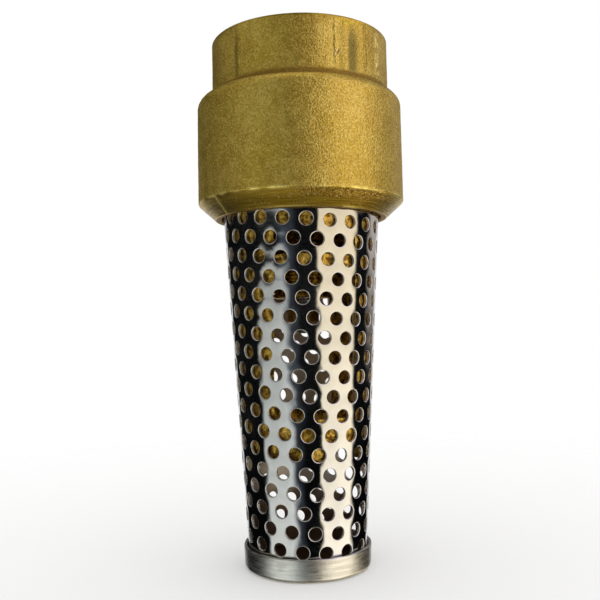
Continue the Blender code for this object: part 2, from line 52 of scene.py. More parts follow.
# --- shape of the turned and rolled pieces, in mm, as in the frame -----------------
HEIGHT = 150.0
RIM_R = 25.6
BODY_R_TOP, BODY_R_LOW = 29.62, 29.75
SHOULDER_Z, SHOULDER_FILLET = 133.7, 2.9
CHAMFER_TOP_Z, BODY_BOTTOM_Z, LIP_R = 103.5, 99.1, 24.9
SOCKET_R, SOCKET_TAPER, SOCKET_FLOOR_Z = 19.4, 1.0 / 32.0, 131.6
MOUTH_R, MOUTH_Z = 21.6, 148.2
CHAMBER_R, CHAMBER_Z0, CHAMBER_Z1 = 25.0, 115.9, 128.0
CAGE_THREAD_R, COUNTERBORE_R, COUNTERBORE_Z = 22.4, 23.25, 105.0
CONE_R0, CONE_Z0, CONE_SLOPE = 17.28, 10.8, 0.0592
SHEET_T, SLEEVE_Z0, SLEEVE_Z1 = 0.8, 1.3, 104.4
HOLE_D, HOLE_PITCH, ROW_PITCH, ROW_COUNT = 3.6, 6.436, 5.224, 19
TOP_ROW_Z, ROW_SHIFT, SHEET_AZIMUTH, SEAM_LAND = 100.80, -0.2585, 65.56, 3.4
CAP_R_LIP, CAP_R_LOW, CAP_H, CAP_EDGE, CAP_T = 18.27, 18.1, 6.35, 1.2, 0.8
WINDOW_AZIMUTH, WINDOW_WIDTH = 11.6, 22.6
UPPER_WINDOW, LOWER_WINDOW = (87.3, 93.9), (43.0, 83.3)
CAGE_WALL, CAGE_GAP, CAGE_BOTTOM_Z = 2.6, 0.4, 31.0
SEAT_Z, SEAT_R0, SEAT_R1, CAGE_TOP_Z = 114.5, 15.5, 17.5, 113.7
CAGE_MALE_R, CAGE_SHOULDER_Z = 22.1, 105.2
GROOVE = (111.5, 113.3, 20.6)
HUB_R, HUB_Z, POCKET_R, POCKET_TOP, HUB_BORE = 8.5, (76.2, 92.0), 5.7, 87.2, 4.4
ARM_W, ARM_Z = 5.0, (80.5, 86.6)
DRIVE_SLOT_AZIMUTH, DRIVE_SLOT = 44.0, (10.5, 36.2)
DISC_R, DISC_Z = 19.5, (117.1, 121.3)
STEM_R, STEM_END_Z, HEX_AF, HEAD_Z = 2.5, 66.0, 8.0, (122.5, 126.1)


# ============================================================== mesh helpers ======
def _hash(ix, iy, iz, seed):
    h = (ix.astype(np.uint32) * np.uint32(374761393) + iy.astype(np.uint32) * np.uint32(668265263)
         + iz.astype(np.uint32) * np.uint32(2147483647) + np.uint32(seed) * np.uint32(1274126177))
    h = (h ^ (h >> np.uint32(13))) * np.uint32(1274126177)
    h = (h ^ (h >> np.uint32(16))) * np.uint32(2246822519)
    h = h ^ (h >> np.uint32(15))
    return h.astype(np.float64) / 4294967295.0 * 2.0 - 1.0


def vnoise(p, scale, seed=0):
    """Smooth value noise in -1..1; p in mm, scale is the cell size in mm."""
    q = np.asarray(p, dtype=np.float64) / scale + 1000.0
    i = np.floor(q).astype(np.int64)
    f = q - i
    f = f * f * f * (f * (f * 6 - 15) + 10)
    out = 0.0
    for dx in (0, 1):
        wx = f[:, 0] if dx else 1 - f[:, 0]
        for dy in (0, 1):
            wy = f[:, 1] if dy else 1 - f[:, 1]
            for dz in (0, 1):
                wz = f[:, 2] if dz else 1 - f[:, 2]
                out = out + wx * wy * wz * _hash(i[:, 0] + dx, i[:, 1] + dy, i[:, 2] + dz, seed)
    return out


def smooth(a, b, x):
    t = np.clip((np.asarray(x, dtype=np.float64) - a) / (b - a), 0.0, 1.0)
    return t * t * (3 - 2 * t)


def dense(points, step):
    """Resample a polyline in the (radius, height) plane, keeping its corners."""
    out = []
    for (r0, z0), (r1, z1) in zip(points, points[1:]):
        n = max(1, int(math.ceil(math.hypot(r1 - r0, z1 - z0) / step)))
        for i in range(n):
            out.append((r0 + (r1 - r0) * i / n, z0 + (z1 - z0) * i / n))
    out.append(points[-1])
    return out


def arc(cx, cz, radius, a0, a1, steps):
    return [(cx + radius * math.cos(math.radians(a0 + (a1 - a0) * i / steps)),
             cz + radius * math.sin(math.radians(a0 + (a1 - a0) * i / steps)))
            for i in range(steps + 1)]


def new_piece(name, verts_mm, faces, attrs=None, sharp=None, normals=None):
    mesh = bpy.data.meshes.new(name)
    mesh.from_pydata((np.asarray(verts_mm) * MM).tolist(), [], [tuple(int(i) for i in f) for f in faces])
    mesh.update()
    for key, values in (attrs or {}).items():
        a = mesh.attributes.new(key, "FLOAT", "POINT")
        a.data.foreach_set("value", np.asarray(values, dtype=np.float32))
    mesh.shade_smooth()
    if sharp is not None:
        mesh.set_sharp_from_angle(angle=math.radians(sharp))
    if normals is not None:
        mesh.normals_split_custom_set_from_vertices(np.asarray(normals).tolist())
    obj = bpy.data.objects.new(name, mesh)
    bpy.context.scene.collection.objects.link(obj)
    return obj


def revolve(name, profile, segs, radius_fn=None, attrs_fn=None, sharp=None, closed=True):
    """Revolve a loop of (radius, height).  Points on the axis become poles."""
    prof = np.asarray(profile, dtype=np.float64)
    m = len(prof)
    ang = np.arange(segs) * TAU / segs
    verts, index = [], []
    for r, z in prof:
        if r < 1e-9:
            index.append([len(verts)] * segs)
            verts.append((0.0, 0.0, z))
        else:
            base = len(verts)
            index.append([base + i for i in range(segs)])
            verts.extend(zip((r * np.sin(ang)).tolist(), (-r * np.cos(ang)).tolist(), [z] * segs))
    faces = []
    rows = range(m) if closed else range(m - 1)
    for j in rows:
        a, b = index[j], index[(j + 1) % m]
        if a[0] == a[-1] and b[0] == b[-1]:
            continue
        for i in range(segs):
            k = (i + 1) % segs
            quad = (a[i], b[i], b[k], a[k])
            clean = []
            for v in quad:
                if v not in clean:
                    clean.append(v)
            if len(clean) >= 3:
                faces.append(clean)
    v = np.asarray(verts, dtype=np.float64)
    if radius_fn is not None:
        v = radius_fn(v)
    attrs = attrs_fn(v) if attrs_fn else None
    return new_piece(name, v, faces, attrs, sharp)


def helper(bm, name):
    mesh = bpy.data.meshes.new(name)
    bm.to_mesh(mesh)
    bm.free()
    obj = bpy.data.objects.new(name, mesh)
    bpy.context.scene.collection.objects.link(obj)
    return obj


def apply_all(obj):
    """Bake an object's modifiers into its mesh."""
    dg = bpy.context.evaluated_depsgraph_get()
    mesh = bpy.data.meshes.new_from_object(obj.evaluated_get(dg))
    obj.modifiers.clear()
    old = obj.data
    obj.data = mesh
    bpy.data.meshes.remove(old)


def azimuth(v):
    return np.degrees(np.arctan2(v[:, 0], -v[:, 1]))


def wrapped(a, centre):
    return (a - centre + 180.0) % 360.0 - 180.0


# ================================================================ node helpers ====
class Nodes:
    """Small wrapper that keeps shader graphs readable."""

    def __init__(self, name):
        self.mat = bpy.data.materials.new(name)
        self.mat.use_nodes = True
        self.t = self.mat.node_tree
        self.bsdf = self.t.nodes["Principled BSDF"]
        self.out = self.t.nodes["Material Output"]
        self.coord = self.t.nodes.new("ShaderNodeTexCoord")

    def node(self, kind, **inputs):
        n = self.t.nodes.new(kind)
        for k, v in inputs.items():
            self.put(n, k, v)
        return n

    def put(self, n, key, value):
        sock = n.inputs[key] if not isinstance(key, int) else n.inputs[key]
        if isinstance(value, bpy.types.NodeSocket):
            self.t.links.new(value, sock)
        else:
            sock.default_value = value

    def math(self, op, a, b=0.0, c=0.0, clamp=False):
        n = self.t.nodes.new("ShaderNodeMath")
        n.operation = op
        n.use_clamp = clamp
        for i, v in enumerate((a, b, c)):
            self.put(n, i, v)
        return n.outputs[0]

    def ramp(self, value, lo, hi, to0=0.0, to1=1.0, kind="SMOOTHSTEP"):
        n = self.t.nodes.new("ShaderNodeMapRange")
        n.interpolation_type = kind
        n.clamp = True
        for k, v in (("Value", value), ("From Min", lo), ("From Max", hi), ("To Min", to0), ("To Max", to1)):
            self.put(n, k, v)
        return n.outputs["Result"]

    def noise(self, scale_mm, detail=2.0, rough=0.5, vector=None, distortion=0.0, stretch=None):
        vec = vector if vector is not None else self.coord.outputs["Object"]
        if stretch is not None:
            m = self.t.nodes.new("ShaderNodeMapping")
            m.inputs["Scale"].default_value = stretch
            self.t.links.new(vec, m.inputs["Vector"])
            vec = m.outputs["Vector"]
        n = self.t.nodes.new("ShaderNodeTexNoise")
        n.inputs["Scale"].default_value = 1.0 / (scale_mm * MM)
        n.inputs["Detail"].default_value = detail
        n.inputs["Roughness"].default_value = rough
        n.inputs["Distortion"].default_value = distortion
        self.t.links.new(vec, n.inputs["Vector"])
        return n.outputs["Fac"]

    def cyl(self, turns=1.0):
        """(azimuth, radius, height) of the point, in metres of arc at 20 mm."""
        sep = self.t.nodes.new("ShaderNodeSeparateXYZ")
        self.t.links.new(self.coord.outputs["Object"], sep.inputs[0])
        az = self.math("ARCTAN2", sep.outputs[0], self.math("MULTIPLY", sep.outputs[1], -1.0))
        r = self.math("SQRT", self.math("ADD", self.math("MULTIPLY", sep.outputs[0], sep.outputs[0]),
                                        self.math("MULTIPLY", sep.outputs[1], sep.outputs[1])))
        comb = self.t.nodes.new("ShaderNodeCombineXYZ")
        self.put(comb, 0, self.math("MULTIPLY", az, 0.020))
        self.put(comb, 1, r)
        self.put(comb, 2, sep.outputs[2])
        return az, r, sep.outputs[2], comb.outputs[0]

    def attr(self, name):
        n = self.t.nodes.new("ShaderNodeAttribute")
        n.attribute_name = name
        return n.outputs["Fac"]

    def mix(self, fac, a, b):
        n = self.t.nodes.new("ShaderNodeMix")
        n.data_type = "RGBA"
        self.put(n, 0, fac)
        for i, v in ((6, a), (7, b)):
            if isinstance(v, tuple) and len(v) == 3:
                v = (*v, 1.0)
            self.put(n, i, v)
        return n.outputs[2]

    def mixf(self, fac, a, b):
        n = self.t.nodes.new("ShaderNodeMix")
        n.data_type = "FLOAT"
        self.put(n, 0, fac)
        self.put(n, 2, a)
        self.put(n, 3, b)
        return n.outputs[0]

    def bump(self, height, distance_mm, strength=1.0, normal=None):
        n = self.t.nodes.new("ShaderNodeBump")
        n.inputs["Strength"].default_value = strength
        n.inputs["Distance"].default_value = distance_mm * MM
        self.t.links.new(height, n.inputs["Height"])
        if normal is not None:
            self.t.links.new(normal, n.inputs["Normal"])
        return n.outputs["Normal"]

    def done(self, colour=None, roughness=None, metallic=1.0, normal=None, **other):
        for key, v in (("Base Color", colour), ("Roughness", roughness), ("Metallic", metallic),
                       ("Normal", normal)):
            if v is None:
                continue
            if isinstance(v, tuple) and len(v) == 3:
                v = (*v, 1.0)
            self.put(self.bsdf, key, v)
        for key, v in other.items():
            self.put(self.bsdf, key.replace("_", " "), v)
        return self.mat


def set_material(obj, mat):
    if obj.data.materials:
        for i in range(len(obj.data.materials)):
            obj.data.materials[i] = mat
    else:
        obj.data.materials.append(mat)


# =================================================================== materials ====
BRASS_LIGHT = (0.70, 0.50, 0.096)
BRASS_DARK = (0.57, 0.385, 0.045)


def bell(n, x, centre, width):
    """A smooth hump of height 1 around a centre."""
    u = n.math("DIVIDE", n.math("SUBTRACT", x, centre), width)
    return n.math("EXPONENT", n.math("MULTIPLY", n.math("MULTIPLY", u, u), -1.0))


def window_(n, x, a0, a1, b0, b1):
    return n.math("MULTIPLY", n.ramp(x, a0, a1), n.ramp(x, b0, b1, 1.0, 0.0))


def cast_brass(name, masks=True, light=BRASS_LIGHT, dark=BRASS_DARK):
    n = Nodes(name)
    big = n.noise(11.0, 3.0, 0.55)
    mid = n.noise(2.6, 2.0, 0.6)
    grain = n.noise(0.48, 1.5, 0.5, distortion=0.3)
    fine = n.noise(0.27, 1.0, 0.5)
    tone = n.math("ADD", n.math("MULTIPLY", n.ramp(big, 0.35, 0.65), 0.6),
                  n.math("MULTIPLY", n.ramp(mid, 0.35, 0.65), 0.4))
    colour = n.mix(tone, dark, light)
    # painted shade in the hollows between the grains and painted highlights on their crests, laid over any blotches
    if masks:
        blotch = n.noise(7.0, 2.0, 0.6, distortion=0.5)
        colour = n.mix(n.math("MULTIPLY", n.ramp(blotch, 0.36, 0.52, 1.0, 0.0), 0.30), colour, (0.44, 0.25, 0.022))
        colour = n.mix(n.math("MULTIPLY", n.ramp(blotch, 0.54, 0.70), 0.16), colour, (0.66, 0.56, 0.12))
    colour = n.mix(n.math("MULTIPLY", n.ramp(grain, 0.34, 0.50, 1.0, 0.0), 0.46), colour, (0.28, 0.175, 0.026))
    colour = n.mix(n.math("MULTIPLY", n.ramp(grain, 0.52, 0.66), 0.40), colour, (0.91, 0.76, 0.25))
    if not masks:
        # inside, dark runs are painted shadow, and dark and bright spots are painted shade and painted highlights
        shadow_runs = n.noise(2.3, 2.0, 0.55, distortion=0.4)
        colour = n.mix(n.math("MULTIPLY", n.ramp(shadow_runs, 0.40, 0.56, 1.0, 0.0), 0.86), colour, (0.085, 0.040, 0.006))
        shade_and_glint_spots = n.noise(1.5, 1.5, 0.5)
        colour = n.mix(n.math("MULTIPLY", n.ramp(shade_and_glint_spots, 0.36, 0.50, 1.0, 0.0), 0.55), colour, (0.11, 0.055, 0.008))
        colour = n.mix(n.math("MULTIPLY", n.ramp(shade_and_glint_spots, 0.50, 0.66), 0.80), colour, (1.0, 0.68, 0.15))
    rough = n.ramp(mid, 0.3, 0.7, 0.33, 0.43)
    height = n.math("ADD", n.math("MULTIPLY", grain, 0.8), n.math("MULTIPLY", fine, 0.2))
    metal = 0.84 if masks else 0.97
    if masks:
        az, r, z, cyl = n.cyl()
        deg = n.math("MULTIPLY", az, 180.0 / math.pi)
        zmm = n.math("MULTIPLY", z, 1000.0)
        wander = n.math("MULTIPLY", n.math("SUBTRACT", n.noise(2.2, 2.0, 0.6), 0.5), 3.0)
        patchy = n.ramp(n.noise(1.5, 2.0, 0.6), 0.38, 0.60)
        on_neck = n.math("MULTIPLY", n.ramp(zmm, 136.2, 137.4), n.ramp(zmm, 148.4, 149.4, 1.0, 0.0))
        line = n.math("ADD", deg, wander)
        crack = n.math("MULTIPLY", bell(n, line, 21.8, 0.55), n.ramp(patchy, 0.0, 1.0, 0.45, 1.0))
        seam = n.math("MULTIPLY", bell(n, line, 46.2, 0.7), 0.34)
        jag = n.math("MULTIPLY", bell(n, n.math("ADD", deg, n.math("MULTIPLY", wander, 1.6)), 57.4, 2.3), patchy)
        skew = n.math("SUBTRACT", deg, n.math("MULTIPLY", n.math("SUBTRACT", zmm, 140.1), 1.5))
        flaw = n.math("MULTIPLY", bell(n, skew, 23.4, 0.8), bell(n, zmm, 140.1, 0.9))
        flaw2 = n.math("MULTIPLY", bell(n, skew, 25.0, 0.9), bell(n, zmm, 140.3, 0.8))
        marks = n.math("SUBTRACT", n.math("ADD", n.math("MULTIPLY", jag, 2.2), flaw),
                       n.math("ADD", n.math("ADD", crack, seam), flaw2))
        height = n.math("ADD", height, n.math("MULTIPLY", n.math("MULTIPLY", marks, on_neck), 0.75))
        # painted shade in the crack, the seam and the second flaw; painted highlight on the jag and the first flaw
        cut = n.math("MULTIPLY", n.math("ADD", n.math("ADD", crack, n.math("MULTIPLY", seam, 0.6)), flaw2), on_neck)
        colour = n.mix(n.math("MULTIPLY", cut, 0.55, clamp=True), colour, (0.25, 0.16, 0.03))
        neck_highlight = n.math("MULTIPLY", n.math("ADD", jag, flaw), on_neck)
        colour = n.mix(n.math("MULTIPLY", neck_highlight, 0.95, clamp=True), colour, (1.0, 0.80, 0.30))
    normal = n.bump(height, 0.215 if masks else 0.26, 1.0)
    if masks:
        turned = n.attr("turned")
        lines = n.noise(0.34, 2.0, 0.6, vector=cyl, stretch=(0.05, 1.0, 1.0))
        chatter = n.noise(0.62, 2.0, 0.6, vector=cyl, stretch=(1.0, 0.3, 0.3))
        speck = n.noise(0.42, 1.5, 0.6)
        machined = n.mix(n.ramp(lines, 0.3, 0.7), (0.30, 0.19, 0.014), (0.62, 0.43, 0.055))
        # the upper band of the chamfer is painted lighter (painted highlight), the turned faces lower down darker
        # (painted shade)
        upper = n.ramp(zmm, 101.2, 102.4)
        # the cutter just skims the casting skin on one side: torn and pitted, with painted glints (painted highlights)
        # there, and stray painted glints elsewhere on the turned faces
        torn = n.math("MULTIPLY", window_(n, deg, -16.0, 12.0, 44.0, 62.0),
                      n.ramp(n.math("ADD", zmm, n.math("MULTIPLY", n.math("SUBTRACT", n.noise(3.0, 2.0, 0.6), 0.5), 3.0)),
                             100.9, 102.1))
        torn = n.math("MULTIPLY", torn, n.ramp(zmm, 104.2, 105.0, 1.0, 0.0))
        upper = n.math("MULTIPLY", upper, n.ramp(zmm, 104.2, 105.0, 1.0, 0.0))
        shade = n.math("MULTIPLY", n.ramp(zmm, 104.2, 105.0, 1.0, 0.0), 0.25)
        machined = n.mix(upper, n.mix(shade, machined, (0.10, 0.07, 0.005)), n.mix(0.30, machined, (0.78, 0.52, 0.08)))
        pit = n.ramp(speck, 0.40, 0.50, 1.0, 0.0)
        glint = n.ramp(speck, 0.54, 0.64)
        stray = n.math("MULTIPLY", n.ramp(n.noise(3.5, 2.0, 0.6), 0.45, 0.62), n.ramp(zmm, 104.2, 105.0, 0.34, 0.06))
        amount = n.math("ADD", n.math("MULTIPLY", torn, 0.85), stray, clamp=True)
        machined = n.mix(n.math("MULTIPLY", torn, 0.45), machined, (0.44, 0.235, 0.025))
        machined = n.mix(n.math("MULTIPLY", pit, n.math("MULTIPLY", amount, 0.75)), machined, (0.12, 0.055, 0.005))
        machined = n.mix(n.math("MULTIPLY", glint, n.math("MULTIPLY", amount, 0.95)), machined, (1.0, 0.80, 0.30))
        colour = n.mix(turned, colour, machined)
        rough = n.mixf(turned, rough, 0.32)
        mark = n.math("ADD", n.math("MULTIPLY", lines, 0.45),
                      n.math("ADD", n.math("MULTIPLY", chatter, 0.25), n.math("MULTIPLY", speck, 0.3)))
        normal2 = n.bump(mark, 0.16, 1.0)
        nm = n.t.nodes.new("ShaderNodeMix")
        nm.data_type = "VECTOR"
        n.put(nm, 0, turned)
        n.put(nm, 4, normal)
        n.put(nm, 5, normal2)
        normal = nm.outputs[1]
        # painted shade in the neck's grip dishes
        dull = n.attr("dull")
        colour = n.mix(n.math("MULTIPLY", dull, 0.90), colour, (0.205, 0.165, 0.036))
        # painted shade in the shoulder fillet and under the lip
        fillet = n.attr("fillet")
        colour = n.mix(n.math("MULTIPLY", fillet, 0.85), colour, (0.24, 0.135, 0.018))
        rough = n.mixf(fillet, rough, 0.6)
        # painted highlight on the chamfer's top edge, the lip and the parting lines
        edge = n.attr("edge")
        colour = n.mix(n.math("MULTIPLY", edge, 0.90), colour, (1.0, 0.82, 0.24))
        rough = n.mixf(edge, rough, 0.24)
        metal = n.mixf(edge, n.mixf(turned, metal, 0.95), 0.72)
    return n.done(colour, rough, metal, normal)


def turned_brass(name, light, dark, rough0=0.24, rough1=0.36):
    n = Nodes(name)
    az, r, z, cyl = n.cyl()
    lines = n.noise(0.22, 3.0, 0.6, vector=cyl, stretch=(0.02, 1.0, 1.0))
    patina = n.noise(5.0, 3.0, 0.6)
    colour = n.mix(n.ramp(patina, 0.3, 0.7), dark, light)
    rough = n.ramp(lines, 0.3, 0.7, rough0, rough1)
    return n.done(colour, rough, 1.0, n.bump(lines, 0.03, 0.8))


def sheet_steel(name):
    n = Nodes(name)
    az, r, z, cyl = n.cyl()
    wave = n.noise(7.0, 2.0, 0.5, vector=cyl, stretch=(1.0, 1.0, 0.55))
    wave2 = n.noise(2.2, 2.0, 0.5)
    roll = n.noise(0.18, 2.0, 0.6, vector=cyl, stretch=(1.0, 1.0, 0.05))
    smear = n.noise(11.0, 3.0, 0.6)
    colour = n.mix(n.ramp(smear, 0.3, 0.7), (0.60, 0.60, 0.61), (0.70, 0.69, 0.68))
    seam = n.attr("seam")
    colour = n.mix(n.ramp(seam, 0.05, 0.45, 0.0, 0.55), colour, (0.46, 0.36, 0.22))
    colour = n.mix(n.ramp(seam, 0.45, 0.75, 0.0, 0.75), colour, (0.22, 0.24, 0.34))
    colour = n.mix(n.ramp(seam, 0.80, 0.97), colour, (0.42, 0.41, 0.40))
    rough = n.math("ADD", n.ramp(smear, 0.35, 0.75, 0.045, 0.092), n.math("MULTIPLY", roll, 0.035))
    rough = n.mixf(n.ramp(seam, 0.3, 0.9), rough, 0.34)
    # painted highlight on the rolled rims of the holes
    rim_highlight = n.attr("rim_highlight")
    rough = n.mixf(rim_highlight, rough, 0.24)
    colour = n.mix(n.math("MULTIPLY", rim_highlight, 0.7), colour, (0.80, 0.775, 0.72))
    # inside, the sheet is duller; its colour is a painted beige reflection, darkening to painted shade down in the cap
    inside = n.attr("inside")
    zmm = n.math("MULTIPLY", z, 1000.0)
    inside_light_and_shade = n.mix(n.ramp(zmm, 13.0, 26.0), (0.20, 0.13, 0.08), (0.82, 0.74, 0.64))
    colour = n.mix(inside, colour, inside_light_and_shade)
    rough = n.mixf(inside, rough, 0.34)
    h = n.math("ADD", n.math("MULTIPLY", wave, 1.0), n.math("MULTIPLY", wave2, 0.10))
    nrm = n.bump(h, 0.20, 0.55)
    nrm = n.bump(roll, 0.004, 0.5, nrm)
    dull = n.math("ADD", n.math("MULTIPLY", rim_highlight, 0.30), n.math("MULTIPLY", inside, 0.28))
    return n.done(colour, rough, n.math("SUBTRACT", 1.0, dull, clamp=True), nrm)


def brushed_cap(name):
    n = Nodes(name)
    az, r, z, cyl = n.cyl()
    streak = n.noise(0.20, 4.0, 0.65, vector=cyl, stretch=(0.035, 1.0, 1.0))
    broad = n.noise(1.6, 3.0, 0.6, vector=cyl, stretch=(0.10, 1.0, 1.0))
    up = n.noise(0.35, 2.0, 0.6, vector=cyl, stretch=(1.0, 0.2, 0.12))
    stain = n.noise(4.5, 4.0, 0.65, vector=cyl, stretch=(0.35, 1.0, 1.0))
    colour = n.mix(n.ramp(broad, 0.35, 0.68), (0.62, 0.60, 0.56), (0.88, 0.87, 0.83))
    colour = n.mix(n.ramp(stain, 0.52, 0.72, 0.0, 0.6), colour, (0.36, 0.31, 0.25))
    colour = n.mix(n.ramp(streak, 0.55, 0.75, 0.0, 0.35), colour, (0.92, 0.92, 0.91))
    # painted shade inside the cap
    cap_inside_shade = n.math("MULTIPLY", n.ramp(r, 0.01735, 0.01755, 1.0, 0.0), n.ramp(z, 0.0003, 0.0007))
    colour = n.mix(cap_inside_shade, colour, (0.17, 0.115, 0.07))
    rough = n.mixf(cap_inside_shade, n.ramp(streak, 0.3, 0.7, 0.24, 0.40), 0.5)
    h = n.math("ADD", n.math("MULTIPLY", streak, 0.7), n.math("MULTIPLY", up, 0.3))
    return n.done(colour, rough, 1.0, n.bump(h, 0.045, 0.9), Anisotropic=0.35)


def plain_steel(name, colour=(0.58, 0.58, 0.58), rough0=0.2, rough1=0.34):
    n = Nodes(name)
    az, r, z, cyl = n.cyl()
    lines = n.noise(0.25, 3.0, 0.6, vector=cyl, stretch=(0.04, 1.0, 1.0))
    patch = n.noise(3.5, 3.0, 0.6)
    col = n.mix(n.ramp(patch, 0.3, 0.7), tuple(0.82 * c for c in colour), colour)
    return n.done(col, n.ramp(lines, 0.3, 0.7, rough0, rough1), 1.0, n.bump(lines, 0.02, 0.6))


def rubber(name):
    n = Nodes(name)
    speck = n.noise(0.35, 2.0, 0.6)
    dust = n.noise(3.0, 4.0, 0.6)
    col = n.mix(n.ramp(dust, 0.45, 0.75, 0.0, 0.5), (0.013, 0.013, 0.014), (0.035, 0.034, 0.032))
    return n.done(col, n.ramp(speck, 0.3, 0.7, 0.46, 0.62), 0.0, n.bump(speck, 0.03, 0.6))


# ============================================================ the brass body ======
def body_piece():
    step = 0.47
    outer = dense([(MOUTH_R + 0.05, HEIGHT), (RIM_R - 0.2, HEIGHT)], 0.6)
    outer += arc(RIM_R - 0.2, HEIGHT - 0.2, 0.2, 80, 0, 4)
    outer += dense([(RIM_R, HEIGHT - 0.75), (RIM_R, SHOULDER_Z + 1.5)], step)
    outer += [(RIM_R + 0.05, SHOULDER_Z + 1.0), (RIM_R + 0.17, SHOULDER_Z + 0.58), (RIM_R + 0.40, SHOULDER_Z + 0.22),
              (RIM_R + 0.72, SHOULDER_Z + 0.04)]
    outer += arc(BODY_R_TOP - SHOULDER_FILLET, SHOULDER_Z - SHOULDER_FILLET, SHOULDER_FILLET, 86, 0, 14)
    outer += dense([(BODY_R_TOP + 0.004, SHOULDER_Z - SHOULDER_FILLET - step),
                    (BODY_R_LOW, CHAMFER_TOP_Z + 0.22)], step)
    outer += [(BODY_R_LOW - 0.02, CHAMFER_TOP_Z + 0.06), (BODY_R_LOW - 0.10, CHAMFER_TOP_Z - 0.09)]
    outer += dense([(BODY_R_LOW - 0.24, CHAMFER_TOP_Z - 0.24), (LIP_R + 0.18, BODY_BOTTOM_Z + 0.20)], 0.42)
    outer += [(LIP_R + 0.08, BODY_BOTTOM_Z + 0.07), (LIP_R - 0.04, BODY_BOTTOM_Z + 0.01)]
    inner = dense([(LIP_R - 0.3, BODY_BOTTOM_Z), (COUNTERBORE_R + 0.15, BODY_BOTTOM_Z)], 0.7)
    inner += [(COUNTERBORE_R, BODY_BOTTOM_Z + 0.15)]
    inner += dense([(COUNTERBORE_R, BODY_BOTTOM_Z + 0.8), (COUNTERBORE_R, COUNTERBORE_Z)], 2.0)
    inner += dense([(CAGE_THREAD_R, COUNTERBORE_Z), (CAGE_THREAD_R, CHAMBER_Z0 - 0.6)], 2.0)
    inner += dense([(CHAMBER_R, CHAMBER_Z0), (CHAMBER_R, CHAMBER_Z1 - 0.8)], 1.6)
    inner += arc(CHAMBER_R - 0.8, CHAMBER_Z1 - 0.8, 0.8, 0, 60, 4)
    inner += dense([(CHAMBER_R - 0.9, CHAMBER_Z1 + 0.2), (SOCKET_R + 0.15, SOCKET_FLOOR_Z - 0.1)], 0.8)
    pitch = 25.4 / 11.5
    thread = dense([(SOCKET_R, SOCKET_FLOOR_Z), (SOCKET_R + SOCKET_TAPER * (MOUTH_Z - SOCKET_FLOOR_Z), MOUTH_Z)],
                   pitch / 11.0)
    mouth = dense([(SOCKET_R + 0.7, MOUTH_Z + 0.12), (MOUTH_R - 0.08, HEIGHT - 0.05)], 0.3)
    profile = outer + inner + thread + mouth
    profile = [p for i, p in enumerate(profile)
               if math.hypot(p[0] - profile[i - 1][0], p[1] - profile[i - 1][1]) > 1e-6]
    m = len(profile)
    prof = np.asarray(profile)
    tang = np.roll(prof, -1, axis=0) - np.roll(prof, 1, axis=0)
    tang /= np.linalg.norm(tang, axis=1)[:, None]
    pn = np.stack([-tang[:, 1], tang[:, 0]], axis=1)          # outward in (r, z)
    # going down the outer wall the outward side is +r
    k = len(dense([(MOUTH_R + 0.05, HEIGHT), (RIM_R - 0.2, HEIGHT)], 0.6)) + 20
    if pn[k, 0] < 0:
        pn = -pn
    segs = 352

    def shape(v):
        row = np.repeat(np.arange(m), segs)
        az = azimuth(v)
        r0, z0 = prof[row, 0], prof[row, 1]
        nr, nz = pn[row, 0], pn[row, 1]
        outside = row < len(outer)
        cast = outside & (z0 > CHAMFER_TOP_Z + 0.1) & (z0 < HEIGHT - 0.45)
        d = np.zeros(len(v))
        # orange peel of the sand casting
        peel = 0.030 * vnoise(v, 1.05, 1) + 0.016 * vnoise(v, 0.6, 2) + 0.045 * vnoise(v, 6.0, 3)
        d += np.where(cast, peel, 0.0)
        # cast grip marks on the neck: four shallow dished bands a quarter turn apart
        neck = smooth(SHOULDER_Z + 1.0, SHOULDER_Z + 2.4, z0) * (1 - smooth(HEIGHT - 1.6, HEIGHT - 0.5, z0))
        neck = np.where(outside, neck, 0.0)
        for c, depth, left, right in ((31.6, 0.92, 10.2, 9.4), (-43.6, 0.42, 18.4, 3.6),
                                      (121.4, 0.70, 9.8, 8.4), (-136.4, 0.55, 14.0, 5.0)):
            u = wrapped(az, c)
            dish = smooth(-left, -0.2, u) * (1 - smooth(0.2, right, u))
            d += neck * (-depth * dish + 0.03 * np.exp(-((u - right - 1.4) / 1.6) ** 2))
        u = wrapped(az, 58.2)
        d += neck * 0.12 * np.exp(-(u / 1.8) ** 2) * (0.6 + 0.5 * vnoise(v, 1.8, 17))
        # a faint mould parting line down both sides
        for c in (-52.2, 127.8):
            u = wrapped(az, c + (z0 - 101.3) * 0.68 * (z0 < CHAMFER_TOP_Z + 0.2))
            line = np.exp(-(u / 0.75) ** 2)
            amount = np.where(z0 < CHAMFER_TOP_Z + 0.2, 0.13, 0.018)
            d += np.where(outside & (z0 > BODY_BOTTOM_Z + 0.1), line * amount, 0.0)
        # the edge between casting and turned chamfer runs slightly in and out
        corner = np.exp(-((z0 - CHAMFER_TOP_Z) / 0.35) ** 2) * outside
        d += corner * 0.05 * vnoise(v, 1.4, 7)
        # turned chamfer: fine feed marks
        cham = outside & (z0 <= CHAMFER_TOP_Z) & (z0 > BODY_BOTTOM_Z + 0.05)
        d += np.where(cham, 0.012 * vnoise(np.stack([z0 * 3, z0 * 0, az * 0.02], 1), 0.5, 9), 0.0)
        # rough bore of the chamber
        chamber = (~outside) & (r0 > CAGE_THREAD_R + 0.3) & (z0 > CHAMBER_Z0) & (z0 < SOCKET_FLOOR_Z)
        d += np.where(chamber, 0.05 * vnoise(v, 1.3, 4), 0.0)
        out = v.copy()
        rr = r0 + nr * d
        zz = z0 + nz * d
